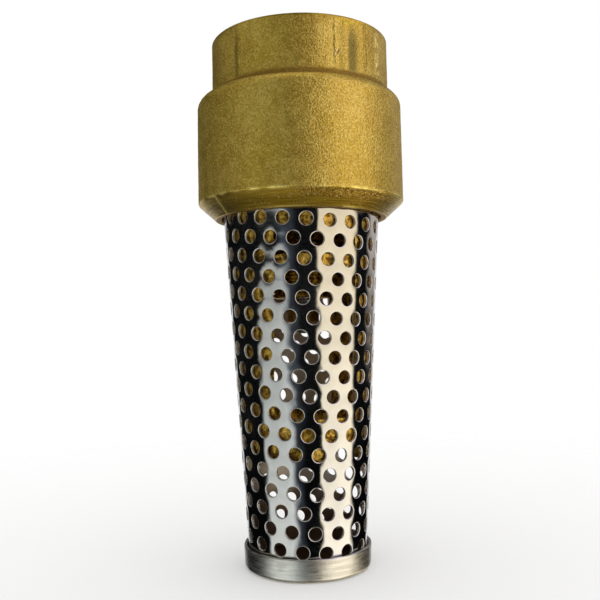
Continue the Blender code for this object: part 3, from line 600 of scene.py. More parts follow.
        # taper pipe thread: a helical vee, fading at the runout
        in_thread = (row >= len(outer) + len(inner)) & (row < len(outer) + len(inner) + len(thread))
        phase = (z0 / pitch - az / 360.0) % 1.0
        tri = 1.0 - np.abs(phase * 2.0 - 1.0)
        vee = np.clip((tri - 0.08) / 0.84, 0, 1)
        fade = smooth(SOCKET_FLOOR_Z + 0.5, SOCKET_FLOOR_Z + 4.0, z0)
        rr = np.where(in_thread, rr + 1.25 * vee * fade, rr)
        ang = np.radians(az)
        # the neck was cast a little off the body's axis
        shift = np.where(outside, 0.42 * smooth(SHOULDER_Z - 0.4, SHOULDER_Z + 1.2, z0) * smooth(23.0, 25.0, r0), 0.0)
        out[:, 0] = rr * np.sin(ang) + shift
        out[:, 1] = -rr * np.cos(ang)
        out[:, 2] = zz
        return out

    def masks(v):
        row = np.repeat(np.arange(m), segs)
        r0, z0 = prof[row, 0], prof[row, 1]
        az = azimuth(v)
        outside = row < len(outer)
        turned = np.zeros(len(v))
        turned[outside & (z0 <= CHAMFER_TOP_Z - 0.05)] = 1.0
        turned[outside & (z0 >= HEIGHT - 0.2)] = 1.0
        turned[~outside] = 1.0
        turned[(~outside) & (r0 > CAGE_THREAD_R + 0.3) & (z0 > CHAMBER_Z0 + 0.3) & (z0 < SOCKET_FLOOR_Z - 0.3)] = 0.0
        # painted highlight along the chamfer's top edge, weaker where it faces the camera, and along the lip and the
        # parting lines
        edge_highlight_strength = np.clip(0.45 + 0.8 * vnoise(v, 2.4, 21), 0, 1) * (1 - 0.75 * np.exp(-(wrapped(az, 2.0) / 9.0) ** 2))
        edge = np.exp(-((z0 - CHAMFER_TOP_Z) / 0.34) ** 2) * outside * edge_highlight_strength
        lip = np.exp(-((z0 - BODY_BOTTOM_Z - 0.12) / 0.16) ** 2) * outside * np.clip(0.5 + 0.9 * vnoise(v, 3.2, 23), 0, 1)
        edge += 0.85 * lip * smooth(-30.0, -8.0, az) * (1 - smooth(32.0, 48.0, az)) + 0.2 * lip
        for c in (-52.2, 127.8):
            u = wrapped(az, c + (z0 - 101.3) * 0.68)
            edge += np.exp(-(u / 0.6) ** 2) * (outside & (z0 < CHAMFER_TOP_Z) & (z0 > BODY_BOTTOM_Z + 0.3))
        # painted shade on the steep side of each grip dish on the neck
        dull = np.zeros(len(v))
        neck = smooth(SHOULDER_Z + 1.4, SHOULDER_Z + 2.8, z0) * (1 - smooth(HEIGHT - 1.5, HEIGHT - 0.5, z0)) * outside
        for c, right, amount in ((32.6, 8.2, 0.9), (-43.6, 3.6, 0.5), (121.4, 8.2, 0.8), (-136.4, 5.0, 0.6)):
            u = wrapped(az, c)
            fades = 1 - 0.8 * smooth(HEIGHT - 7.0, HEIGHT - 1.0, z0)
            dull += neck * smooth(-0.6, 1.2, u) * (1 - smooth(2.8, right + 0.8, u)) * amount * 1.15 * fades
        # painted shade in the fillet under the neck and inside under the lip
        fillet = outside * (1 - smooth(SHOULDER_Z + 1.3, SHOULDER_Z + 2.5, z0)) * (1 - smooth(RIM_R + 2.3, RIM_R + 3.2, r0))
        fillet = fillet * (z0 > SHOULDER_Z - 1.8)
        fillet = np.maximum(fillet, (~outside) & (z0 < COUNTERBORE_Z + 1.0))
        return {"turned": turned, "edge": np.clip(edge, 0, 1), "dull": np.clip(dull, 0, 1), "fillet": fillet}

    return revolve("valve_body_cast", profile, segs, shape, masks, sharp=58)


# =========================================================== the strainer sheet ===
def sleeve_piece():
    alpha = math.atan(CONE_SLOPE)
    sa, ca = math.sin(alpha), math.cos(alpha)
    apex_z = CONE_Z0 - CONE_R0 / CONE_SLOPE
    rho0 = (SLEEVE_Z0 - apex_z) / ca
    rho1 = (SLEEVE_Z1 - apex_z) / ca
    half = math.pi * sa
    sides = 26
    roll_w, roll_h = 0.23, 0.20           # die roll on the outside of each hole
    burr_w, burr_h = 0.10, 0.08           # broken edge on the inside
    hole_r = HOLE_D / 2 + 0.04

    pts, edges, kind = [], [], []
    outline = []
    n_arc = 260
    n_side = 300
    for i in range(n_arc):
        outline.append((rho0, -half + 2 * half * i / n_arc))
    for i in range(n_side):
        outline.append((rho0 + (rho1 - rho0) * i / n_side, half))
    for i in range(n_arc):
        outline.append((rho1, half - 2 * half * i / n_arc))
    for i in range(n_side):
        outline.append((rho1 - (rho1 - rho0) * i / n_side, -half))
    for rho, phi in outline:
        pts.append((rho * math.sin(phi), rho * math.cos(phi)))
        kind.append((rho, phi))
    count = len(outline)
    edges += [(i, (i + 1) % count) for i in range(count)]
    # extra rows for the weld bead beside the seam
    for sgn in (-1, 1):
        for k, off in enumerate((0.28, 0.55, 0.85, 1.25, 1.8, 2.5)):
            n = (300, 300, 300, 200, 120, 90)[k]
            for i in range(1, n):
                rho = rho0 + (rho1 - rho0) * i / n
                phi = sgn * (half - off / rho)
                pts.append((rho * math.sin(phi), rho * math.cos(phi)))
                kind.append((rho, phi))

    rings = []
    reach = int(math.ceil(rho1 * half / HOLE_PITCH)) + 2
    ring_r = hole_r + roll_w
    for row in range(ROW_COUNT):
        y = (TOP_ROW_Z - apex_z) / ca - row * ROW_PITCH
        for col in range(-reach, reach + 1):
            x = (col + (0.5 if row % 2 else 0.0) + ROW_SHIFT) * HOLE_PITCH
            rho, phi = math.hypot(x, y), math.atan2(x, y)
            margin = hole_r + 0.45
            if not rho0 + margin <= rho <= rho1 - margin:
                continue
            if (half - abs(phi)) * rho < SEAM_LAND + hole_r:
                continue
            first = len(pts)
            for k in range(sides):
                a = TAU * k / sides
                px, py = x + ring_r * math.cos(a), y + ring_r * math.sin(a)
                pts.append((px, py))
                kind.append((math.hypot(px, py), math.atan2(px, py)))
            edges += [(first + k, first + (k + 1) % sides) for k in range(sides)]
            rings.append((x, y, first))
    out = delaunay_2d_cdt([Vector(p) for p in pts], edges, [], 0, 1e-7)
    origin = out[3]
    P = np.array([(pts[o[0]] if o else tuple(out[0][i])) for i, o in enumerate(origin)])
    K = np.array([kind[o[0]] for o in origin])
    tris = np.array([t for t in out[2]])
    src = {o[0]: i for i, o in enumerate(origin)}
    cen = P[tris].mean(axis=1)
    # drop triangles inside holes or off the sheet
    keep = np.ones(len(tris), bool)
    centres = np.array([(x, y) for x, y, _ in rings])
    inr = ring_r * math.cos(math.pi / sides) - 1e-6
    for i0 in range(0, len(cen), 4000):
        d2 = ((cen[i0:i0 + 4000, None, :] - centres[None]) ** 2).sum(-1).min(1)
        # a triangle of the ring's own fan has its centroid well inside the ring
        keep[i0:i0 + 4000] &= d2 > (ring_r * 0.985) ** 2
    ring_id = np.full(len(P), -1)
    for h, (x, y, first) in enumerate(rings):
        for k in range(sides):
            ring_id[src[first + k]] = h
    t = ring_id[tris]
    keep &= ~((t[:, 0] >= 0) & (t[:, 0] == t[:, 1]) & (t[:, 1] == t[:, 2]))
    rc = np.hypot(cen[:, 0], cen[:, 1])
    pc = np.arctan2(cen[:, 0], cen[:, 1])
    keep &= ~(rc < rho0 - 0.02)
    keep &= ~(rc < rho0 * math.cos(half / n_arc) - 1e-9)
    keep &= ~(rc > rho1)
    keep &= np.abs(pc) < half
    tris = tris[keep]

    verts, norms, seam_a, rim_a, in_a = [], [], [], [], []

    def place(rho, phi, depth, nx=0.0, nrho=0.0, nout=1.0):
        """A point on the rolled cone; depth is how far under the outer face."""
        th = math.radians(SHEET_AZIMUTH) + phi / sa
        r, z = rho * sa, apex_z + rho * ca
        radial = np.stack([np.sin(th), -np.cos(th), 0 * th], -1)
        along = np.stack([sa * np.sin(th), -sa * np.cos(th), ca + 0 * th], -1)
        tang = np.stack([np.cos(th), np.sin(th), 0 * th], -1)
        n = np.stack([ca * np.sin(th), -ca * np.cos(th), -sa + 0 * th], -1)
        p = np.stack([r * np.sin(th), -r * np.cos(th), z], -1) - n * np.asarray(depth)[..., None]
        nn = n * np.asarray(nout)[..., None] + tang * np.asarray(nx)[..., None] + along * np.asarray(nrho)[..., None]
        nn /= np.linalg.norm(nn, axis=-1)[..., None]
        return p, nn

    rho, phi = K[:, 0], K[:, 1]
    arc_len = (half - np.abs(phi)) * rho                      # distance to the seam
    ripple = 0.5 + 0.5 * np.cos(TAU * rho / 0.85)
    bead = np.exp(-(arc_len / 0.75) ** 2) * (0.16 + 0.05 * ripple)
    flat = np.stack([P[:, 0], P[:, 1], 0 * rho], 1)
    dish = 0.05 * vnoise(flat, 14.0, 31) + 0.02 * vnoise(flat, 6.0, 32)
    dish *= smooth(0.0, 3.0, arc_len)
    outp, outn = place(rho, phi, -(bead + dish))
    # slope of the bead and the dishing, taken numerically
    eps = 0.02

    def height(px, py):
        rr, pp = np.hypot(px, py), np.arctan2(px, py)
        al = (half - np.abs(pp)) * rr
        b = np.exp(-(al / 0.75) ** 2) * (0.16 + 0.05 * (0.5 + 0.5 * np.cos(TAU * rr / 0.85)))
        f = np.stack([px, py, 0 * px], 1)
        dd = 0.05 * vnoise(f, 14.0, 31) + 0.02 * vnoise(f, 6.0, 32)
        return b + dd * smooth(0.0, 3.0, al)

    gx = (height(P[:, 0] + eps, P[:, 1]) - height(P[:, 0] - eps, P[:, 1])) / (2 * eps)
    gy = (height(P[:, 0], P[:, 1] + eps) - height(P[:, 0], P[:, 1] - eps)) / (2 * eps)
    # flat axes to tangent and slant directions
    cp, sp = np.cos(phi), np.sin(phi)
    g_t, g_r = gx * cp - gy * sp, gx * sp + gy * cp
    # the sheet dips a little towards every hole, where the punch drew it in
    tilt_x, tilt_y = np.zeros(len(P)), np.zeros(len(P))
    on_ring = ring_id >= 0
    tilt_x[on_ring] = (centres[ring_id[on_ring], 0] - P[on_ring, 0]) / ring_r * 0.034
    tilt_y[on_ring] = (centres[ring_id[on_ring], 1] - P[on_ring, 1]) / ring_r * 0.034
    t_t, t_r = tilt_x * cp - tilt_y * sp, tilt_x * sp + tilt_y * cp
    outp, outn = place(rho, phi, -(bead + dish), t_t - g_t, t_r - g_r, 1.0)
    inp, inn = place(rho, phi, SHEET_T - dish, 0.0, 0.0, -1.0)
    n_flat = len(P)
    verts += [outp, inp]
    norms += [outn, inn]
    seam_v = np.exp(-(arc_len / 2.6) ** 2)
    seam_v = np.where(arc_len < 0.9, 1.0, seam_v)
    seam_a += [seam_v, seam_v * 0.8]
    rim_a += [np.zeros(n_flat), np.zeros(n_flat)]
    in_a += [np.zeros(n_flat), np.ones(n_flat)]
    faces = [tuple(f) for f in tris]
    faces_in = [(c + n_flat, b + n_flat, a + n_flat) for a, b, c in tris]
    total = 2 * n_flat

    # hole walls
    wall_faces = []
    steps = 4
    for x, y, first in rings:
        a = TAU * np.arange(sides) / sides
        ca_, sa_ = np.cos(a), np.sin(a)
        levels = []
        for s in range(1, steps + 1):
            t_ = math.radians(90 * s / steps)
            levels.append((hole_r + roll_w * (1 - math.sin(t_)), roll_h * (1 - math.cos(t_)), math.sin(t_) / roll_w,
                           math.cos(t_) / roll_h))
        levels.append((hole_r, SHEET_T - burr_h, 1.0, 0.0))
        levels.append((hole_r + burr_w, SHEET_T, 0.7, -0.7))
        ring_prev = [src[first + k] for k in range(sides)]
        phi_c = math.atan2(x, y)
        for li, (rad, dep, nh, nv) in enumerate(levels):
            px, py = x + rad * ca_, y + rad * sa_
            rr, pp = np.hypot(px, py), np.arctan2(px, py)
            hx = height(px, py)
            # hole wall normal: towards the hole's centre
            ux, uy = -ca_ * nh, -sa_ * nh
            c2, s2 = np.cos(pp), np.sin(pp)
            nt, nr_ = ux * c2 - uy * s2, ux * s2 + uy * c2
            p, nn = place(rr, pp, dep - hx, nt, nr_, np.full(sides, nv))
            verts.append(p)
            norms.append(nn)
            seam_a.append(np.exp(-(((half - np.abs(pp)) * rr) / 2.6) ** 2))
            rim_a.append(np.full(sides, (0.35, 0.9, 1.0, 0.5, 0.1, 0.1)[min(li, 5)]))
            in_a.append(np.full(sides, (0.0, 0.0, 0.0, 0.0, 0.5, 1.0)[min(li, 5)]))
            ring = [total + k for k in range(sides)]
            total += sides
            for k in range(sides):
                j = (k + 1) % sides
                wall_faces.append((ring_prev[k], ring_prev[j], ring[j], ring[k]))
            ring_prev = ring
        ring_in = [src[first + k] + n_flat for k in range(sides)]
        for k in range(sides):
            j = (k + 1) % sides
            wall_faces.append((ring_prev[k], ring_prev[j], ring_in[j], ring_in[k]))
    # top and bottom edges of the sheet
    bo = [src[i] for i in range(count)]
    for i in list(range(0, n_arc)) + list(range(n_arc + n_side, 2 * n_arc + n_side)):
        a, b = bo[i], bo[(i + 1) % count]
        wall_faces.append((b, a, a + n_flat, b + n_flat))
    V = np.concatenate(verts)
    N = np.concatenate(norms)
    # weld the seam: the two sides share their points
    weld = {}
    left = [i for i in range(n_flat) if abs(K[i, 1] + half) < 1e-9]
    right = [i for i in range(n_flat) if abs(K[i, 1] - half) < 1e-9]
    lk = {round(K[i, 0], 5): i for i in left}
    remap = np.arange(len(V))
    for i in right:
        j = lk[round(K[i, 0], 5)]
        remap[i] = j
        remap[i + n_flat] = j + n_flat
    allf = faces + faces_in + wall_faces
    allf = [tuple(remap[i] for i in f) for f in allf]
    used = np.unique([i for f in allf for i in f])
    new = np.full(len(V), -1)
    new[used] = np.arange(len(used))
    allf = [tuple(new[i] for i in f) for f in allf]
    V, N = V[used], N[used]
    S = np.concatenate(seam_a)[used]
    R = np.concatenate(rim_a)[used]
    # face orientation: test one outer face against its normal
    f = allf[0]
    fn = np.cross(V[f[1]] - V[f[0]], V[f[2]] - V[f[0]])
    if np.dot(fn, N[f[0]]) < 0:
        allf = [tuple(reversed(f)) for f in allf]
    I = np.concatenate(in_a)[used]
    return new_piece("strainer_sheet", V, allf, {"seam": S, "rim_highlight": R, "inside": I}, None, N)


# ================================================================== the end cap ===
def cap_piece():
    e, t = CAP_EDGE, CAP_T
    prof = [(0.0, 0.0)] + dense([(0.6, 0.0), (CAP_R_LOW - e, 0.0)], 1.0)
    prof += arc(CAP_R_LOW - e, e, e, -84, 0, 9)
    prof += dense([(CAP_R_LOW + 0.01, e + 0.4), (CAP_R_LIP, CAP_H - 0.30)], 0.4)
    prof += arc(CAP_R_LIP - 0.26, CAP_H - 0.26, 0.26, 0, 90, 4)
    prof += arc(CAP_R_LIP - t + 0.22, CAP_H - 0.22, 0.22, 90, 180, 4)
    prof += dense([(CAP_R_LIP - t, CAP_H - 0.6), (CAP_R_LOW - t, t + 0.6)], 1.0)
    prof += [(CAP_R_LOW - t - 0.2, t + 0.2), (CAP_R_LOW - t - 0.6, t)]
    prof += dense([(CAP_R_LOW - t - 1.2, t), (0.8, t)], 2.0) + [(0.0, t)]
    prof = [p for i, p in enumerate(prof) if i == 0 or p != prof[i - 1]]

    def shape(v):
        r = np.hypot(v[:, 0], v[:, 1])
        az = azimuth(v)
        out = v.copy()
        side = smooth(17.0, 17.6, r)
        wob = 0.035 * np.sin(np.radians(az * 3 + 40)) + 0.05 * vnoise(v, 7.0, 51) + 0.012 * vnoise(v, 1.6, 52)
        k = 1 + side * wob / np.maximum(r, 1e-6)
        out[:, 0] *= k
        out[:, 1] *= k
        # lip trimmed by hand: its height wanders a little
        lip = smooth(CAP_H - 1.2, CAP_H, v[:, 2])
        out[:, 2] += lip * 0.10 * vnoise(np.stack([v[:, 0], v[:, 1], v[:, 2] * 0], 1), 5.0, 53) - lip * 0.06
        # shallow pressed dish in the underside
        low = (v[:, 2] < 0.4) & (r < 15.0)
        out[:, 2] += np.where(low, 0.25 * (1 - smooth(11.0, 14.0, r)), 0.0)
        return out

    return revolve("end_cap_drawn", prof, 300, shape, sharp=50, closed=False)


# =========================================================== the seat cage =======
def cone_r(z):
    return CONE_R0 + CONE_SLOPE * (z - CONE_Z0)


def cage_r(z):
    return cone_r(z) - SHEET_T - CAGE_GAP


def bm_spun(loop, segments):
    bm = bmesh.new()
    verts = [bm.verts.new((0.0 * r, -r, z)) for r, z in loop]
    edges = [bm.edges.new((verts[i], verts[(i + 1) % len(verts)])) for i in range(len(verts))]
    bmesh.ops.spin(bm, geom=verts + edges, cent=(0, 0, 0), axis=(0, 0, 1), angle=TAU, steps=segments,
                   use_merge=True, use_duplicate=False)
    bmesh.ops.remove_doubles(bm, verts=bm.verts, dist=1e-4)
    bmesh.ops.dissolve_degenerate(bm, edges=bm.edges, dist=1e-5)
    bmesh.ops.recalc_face_normals(bm, faces=bm.faces)
    bmesh.ops.scale(bm, verts=bm.verts, vec=(MM, MM, MM))
    return bm


def bm_box(size, centre, az=0.0):
    bm = bmesh.new()
    bmesh.ops.create_cube(bm, size=1.0)
    bmesh.ops.scale(bm, verts=bm.verts, vec=size)
    bmesh.ops.translate(bm, verts=bm.verts, vec=centre)
    bmesh.ops.rotate(bm, verts=bm.verts, cent=(0, 0, 0), matrix=Matrix.Rotation(math.radians(az), 3, "Z"))
    bmesh.ops.scale(bm, verts=bm.verts, vec=(MM, MM, MM))
    return bm


def cut(obj, tool, op):
    mod = obj.modifiers.new(op, "BOOLEAN")
    mod.operation = op
    mod.solver = "EXACT"
    mod.object = tool
    apply_all(obj)
    mesh = tool.data
    bpy.data.objects.remove(tool, do_unlink=True)
    bpy.data.meshes.remove(mesh)


def cage_piece():
    g0, g1, gr = GROOVE
    zs = CAGE_SHOULDER_Z
    inner_top = 102.4
    outer = [(SEAT_R0 + 0.3, SEAT_Z), (SEAT_R1 - 0.3, SEAT_Z), (SEAT_R1, SEAT_Z - 0.2),
             (SEAT_R1 + 0.5, CAGE_TOP_Z), (CAGE_MALE_R - 0.3, CAGE_TOP_Z), (CAGE_MALE_R, CAGE_TOP_Z - 0.25),
             (CAGE_MALE_R, g1), (gr, g1), (gr, g0), (CAGE_MALE_R, g0),
             (CAGE_MALE_R, zs), (cage_r(zs), zs)]
    outer += dense([(cage_r(zs), zs), (cage_r(CAGE_BOTTOM_Z + 0.6), CAGE_BOTTOM_Z + 0.6)], 2.2)[1:]
    outer += [(cage_r(CAGE_BOTTOM_Z) - 0.5, CAGE_BOTTOM_Z)]
    w = CAGE_WALL
    inner = [(cage_r(CAGE_BOTTOM_Z) - w + 0.4, CAGE_BOTTOM_Z)]
    inner += dense([(cage_r(CAGE_BOTTOM_Z) - w, CAGE_BOTTOM_Z + 0.4),
                    (cage_r(UPPER_WINDOW[1]) - w, UPPER_WINDOW[1])], 2.2)
    inner += [(cage_r(inner_top) - w - 0.4, inner_top), (SEAT_R0, inner_top + 4.5), (SEAT_R0, SEAT_Z - 0.3)]
    cage = helper(bm_spun(outer + inner, 160), "seat_cage_cast")
    for z0, z1 in (UPPER_WINDOW, LOWER_WINDOW):
        cut(cage, helper(bm_box((WINDOW_WIDTH, 60.0, z1 - z0), (0, 0, (z0 + z1) / 2), WINDOW_AZIMUTH), "tool"),
            "DIFFERENCE")
    width, top = DRIVE_SLOT
    cut(cage, helper(bm_box((width, 60.0, top - 20.0), (0, 0, (top + 20.0) / 2), DRIVE_SLOT_AZIMUTH), "tool"),
        "DIFFERENCE")
    mid = sum(ARM_Z) / 2
    reach = cage_r(mid) - w / 2
    cut(cage, helper(bm_box((2 * reach, ARM_W, ARM_Z[1] - ARM_Z[0]), (0, 0, mid), WINDOW_AZIMUTH), "tool"), "UNION")
    hub = [(0, HUB_Z[0]), (HUB_R - 0.4, HUB_Z[0]), (HUB_R, HUB_Z[0] + 0.4)]
    hub += [(HUB_R - 0.11 * (1 - math.cos(TAU * k / 4)), HUB_Z[0] + 1.0 + 0.25 * k) for k in range(0, 41)]
    hub += [(HUB_R, HUB_Z[1] - 0.4), (HUB_R - 0.4, HUB_Z[1]), (0, HUB_Z[1])]
    cut(cage, helper(bm_spun(hub, 72), "tool"), "UNION")
    cut(cage, helper(bm_spun([(0, HUB_Z[0] - 1), (POCKET_R, HUB_Z[0] - 1), (POCKET_R, POCKET_TOP),
                              (HUB_BORE, POCKET_TOP), (HUB_BORE, HUB_Z[1] + 1), (0, HUB_Z[1] + 1)], 72), "tool"),
        "DIFFERENCE")
    bev = cage.modifiers.new("round", "BEVEL")
    bev.width = 0.0004
    bev.segments = 2
    bev.limit_method = "ANGLE"
    bev.angle_limit = math.radians(50)
    bev.use_clamp_overlap = True
    bev.harden_normals = False
    apply_all(cage)
    cage.data.shade_smooth()
    cage.data.set_sharp_from_angle(angle=math.radians(42))
    return cage


# ===================================================== poppet disc and hardware ===
def disc_piece():
    z0, z1 = DISC_Z
    b = STEM_R + 0.1
    prof = [(b, z0)] + dense([(b + 0.2, z0), (DISC_R - 1.2, z0)], 1.5)
    prof += arc(DISC_R - 0.7, z0 + 0.7, 0.7, -85, 0, 6)
    prof += arc(DISC_R - 1.1, z1 - 1.45, 1.1, 0, 74, 8)
    prof += dense([(DISC_R - 1.3, z1 - 0.36), (12.4, z1 - 0.14)], 0.8)
    # a shallow turned ring and the raised centre boss
    prof += [(12.2, z1 - 0.30), (11.6, z1 - 0.34), (11.3, z1 - 0.18)]
    prof += dense([(11.1, z1 - 0.12), (7.6, z1)], 0.8) + dense([(7.2, z1), (b, z1)], 0.8)
    return revolve("poppet_disc_turned", prof, 256, sharp=40)


def hex_head(name, af, z0, z1, chamfer_top=True, chamfer_low=False, phase=0.0, bore=None):
    """A hexagon whose corners are turned off in a cone, as on a real bolt."""
    segs, rings = 180, 22
    r_in = af / 2
    r_c = af / math.sqrt(3.0)
    ang = np.arange(segs) * TAU / segs
    local = (ang - phase) % (TAU / 6)
    hexr = r_in / np.cos(np.abs(local - TAU / 12))
    hexr = np.minimum(hexr, r_c * 0.992)
    cone = math.tan(math.radians(30))

    def top(r):
        return z1 - np.maximum(0.0, (r - r_in * 0.95)) * cone

    def low(r):
        return z0 + (np.maximum(0.0, (r - r_in * 0.95)) * cone if chamfer_low else 0 * r)

    verts, rows = [], []
    r0 = bore or 0.0

    def add(rr, zz):
        base = len(verts)
        verts.extend(zip((rr * np.sin(ang)).tolist(), (-rr * np.cos(ang)).tolist(), (zz + 0 * rr).tolist()))
        rows.append([base + i for i in range(segs)])

    for k in range(rings + 1):
        f = k / rings
        rr = (r0 + 0.001) + (hexr - r0) * f
        add(rr, top(rr))
    for f in np.linspace(0.02, 0.98, 8):
        add(hexr + 0.0, top(hexr) * (1 - f) + low(hexr) * f)
    for k in range(rings, -1, -1):
        f = k / rings
        rr = (r0 + 0.001) + (hexr - r0) * f
        add(rr, low(rr))
    faces = []
    for a, b in zip(rows, rows[1:]):
        for i in range(segs):
            j = (i + 1) % segs
            faces.append((a[i], b[i], b[j], a[j]))
    if bore:
        a, b = rows[-1], rows[0]
        for i in range(segs):
            j = (i + 1) % segs
            faces.append((a[i], b[i], b[j], a[j]))
    else:
        faces.append(tuple(rows[0]))
        faces.append(tuple(reversed(rows[-1])))
    return new_piece(name, verts, faces, None, 28)


def threaded_rod(name, r, z0, z1, pitch, bands):
    """A shank with helical vee threads where a band says so."""
    segs = 48
    n = int((z1 - z0) / (pitch / 9.0))
    ang = np.arange(segs) * TAU / segs
    verts, rows = [], []
    for k in range(n + 1):
        z = z0 + (z1 - z0) * k / n
        depth = np.zeros(segs)
        for b0, b1 in bands:
            inside = float(smooth(b0, b0 + pitch, z) * (1 - smooth(b1 - pitch, b1, z)))
            ph = (z / pitch - ang / TAU) % 1.0
            tri = np.clip((1 - np.abs(ph * 2 - 1) - 0.1) / 0.8, 0, 1)
            depth += inside * tri * pitch * 0.55
        rr = r - depth - (0.45 * (1 - smooth(z0, z0 + 0.5, z)))
        base = len(verts)
        verts.extend(zip((rr * np.sin(ang)).tolist(), (-rr * np.cos(ang)).tolist(), [z] * segs))
        rows.append([base + i for i in range(segs)])
    faces = []
    for a, b in zip(rows, rows[1:]):
        for i in range(segs):
            j = (i + 1) % segs
            faces.append((a[i], a[j], b[j], b[i]))
    faces.append(tuple(reversed(rows[0])))
    faces.append(tuple(rows[-1]))
    return new_piece(name, verts, faces, None, 40)


def coil_spring(name, mean_r, wire_r, z0, z1, turns):
    a0, a1 = z0 + wire_r, z1 - wire_r
    dead, rise = 1.0, 2.25 * wire_r
    live = turns - 2 * dead
    live_rise = (a1 - a0 - 2 * rise) / live
    n = int(turns * 56)
    sides = 14
    path = []
    for i in range(n + 1):
        t = turns * i / n
        if t < dead:
            z = a0 + rise * t / dead
        elif t > turns - dead:
            z = a1 - rise * (turns - t) / dead
        else:
            z = a0 + rise + live_rise * (t - dead)
        path.append((mean_r * math.sin(TAU * t), -mean_r * math.cos(TAU * t), z))
    path = np.array(path)
    tang = np.gradient(path, axis=0)
    tang /= np.linalg.norm(tang, axis=1)[:, None]
    side = np.stack([path[:, 0], path[:, 1], 0 * path[:, 2]], 1)
    side /= np.linalg.norm(side, axis=1)[:, None]
    up = np.cross(side, tang)
    verts, rows = [], []
    for i in range(n + 1):
        base = len(verts)
        for k in range(sides):
            a = TAU * k / sides
            verts.append(tuple(path[i] + wire_r * (math.cos(a) * side[i] + math.sin(a) * up[i])))
        rows.append([base + k for k in range(sides)])
    # ground flat ends
    v = np.array(verts)
    v[:, 2] = np.clip(v[:, 2], z0 + 0.12, z1 - 0.12)
    faces = []
    for a, b in zip(rows, rows[1:]):
        for k in range(sides):
            j = (k + 1) % sides
            faces.append((a[k], a[j], b[j], b[k]))
    faces.append(tuple(reversed(rows[0])))
    faces.append(tuple(rows[-1]))
    return new_piece(name, v, faces, None, 50)


# ==================================================================== assembly ====
cast = cast_brass("brass_sand_cast")
cage_cast = cast_brass("brass_cage_cast", False, (0.84, 0.51, 0.080), (0.42, 0.22, 0.024))
disc_mat = turned_brass("brass_turned", (0.70, 0.52, 0.20), (0.50, 0.35, 0.11))
bush_mat = turned_brass("bronze_bush", (0.55, 0.34, 0.16), (0.40, 0.23, 0.10))
sheet = sheet_steel("steel_bright_sheet")
cap_mat = brushed_cap("steel_brushed_cap")
stem_mat = plain_steel("steel_stem")
nut_mat = plain_steel("steel_nut", (0.55, 0.55, 0.54), 0.25, 0.4)
washer_mat = plain_steel("steel_washer", (0.62, 0.62, 0.61), 0.18, 0.3)
spring_mat = plain_steel("steel_spring", (0.60, 0.60, 0.62), 0.15, 0.26)
seal_mat = rubber("rubber_seal")
ring_mat = rubber("rubber_o_ring")

body = body_piece()
set_material(body, cast)
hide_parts("valve_body")
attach(body, "housing")

sleeve = sleeve_piece()
set_material(sleeve, sheet)
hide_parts("strainer_sleeve")
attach(sleeve, "housing")

cap = cap_piece()
set_material(cap, cap_mat)
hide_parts("strainer_end_cap")
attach(cap, "housing")

cage = cage_piece()
set_material(cage, cage_cast)
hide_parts("seat_cage")
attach(cage, "housing")

disc = disc_piece()
set_material(disc, disc_mat)
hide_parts("poppet_disc")
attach(disc, "poppet")

head = hex_head("stem_hex_head", HEX_AF, HEAD_Z[0], HEAD_Z[1])
set_material(head, stem_mat)
shank = threaded_rod("stem_shank", STEM_R, STEM_END_Z, HEAD_Z[0] + 0.6, 0.8, ((STEM_END_Z, 74.6), (107.0, 113.5)))
set_material(shank, stem_mat)
for piece in (head, shank):
    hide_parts("poppet_stem")
    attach(piece, "poppet")

spring = coil_spring("valve_spring_coil", 4.35, 0.4, 74.9, 87.1, 5.0)
set_material(spring, spring_mat)
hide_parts("valve_spring")
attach(spring, "housing")
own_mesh(spring)

for node, mat in (("guide_bush", bush_mat), ("poppet_seal", seal_mat), ("cage_o_ring", ring_mat),
                  ("seal_retainer", washer_mat), ("head_washer", washer_mat), ("spring_washer", washer_mat),
                  ("clamp_nut", nut_mat), ("lock_nut", disc_mat), ("cotter_pin", spring_mat)):
    obj = bpy.data.objects.get(node)
    if obj is not None:
        set_material(obj, mat)


# ======================================================================= studio ===
def floor_piece():
    bpy.ops.mesh.primitive_circle_add(vertices=96, radius=6.0, fill_type="NGON", location=(0, 0, -0.00005))
    floor = bpy.context.active_object
    floor.name = "studio_floor"
    n = Nodes("floor_paper")
    grain = n.noise(1.2, 2.0, 0.6)
    n.done((0.98, 0.98, 0.975), 0.9, 0.0, n.bump(grain, 0.02, 0.2), Specular_IOR_Level=0.0)
    path = n.t.nodes.new("ShaderNodeLightPath")
    clear = n.t.nodes.new("ShaderNodeBsdfTransparent")
    mixs = n.t.nodes.new("ShaderNodeMixShader")
    sep = n.t.nodes.new("ShaderNodeSeparateXYZ")
    n.t.links.new(n.coord.outputs["Object"], sep.inputs[0])
    far = n.math("SQRT", n.math("ADD", n.math("MULTIPLY", sep.outputs[0], sep.outputs[0]),
                                n.math("MULTIPLY", sep.outputs[1], sep.outputs[1])))
    geo = n.t.nodes.new("ShaderNodeNewGeometry")
    fade = n.math("MAXIMUM", path.outputs["Is Glossy Ray"], n.ramp(far, 0.05, 0.34))
    fade = n.math("MAXIMUM", fade, geo.outputs["Backfacing"])
    n.t.links.new(fade, mixs.inputs[0])
    n.t.links.new(n.bsdf.outputs[0], mixs.inputs[1])
    n.t.links.new(clear.outputs[0], mixs.inputs[2])
    n.t.links.new(mixs.outputs[0], n.out.inputs["Surface"])
    floor.data.materials.append(n.mat)
    return floor


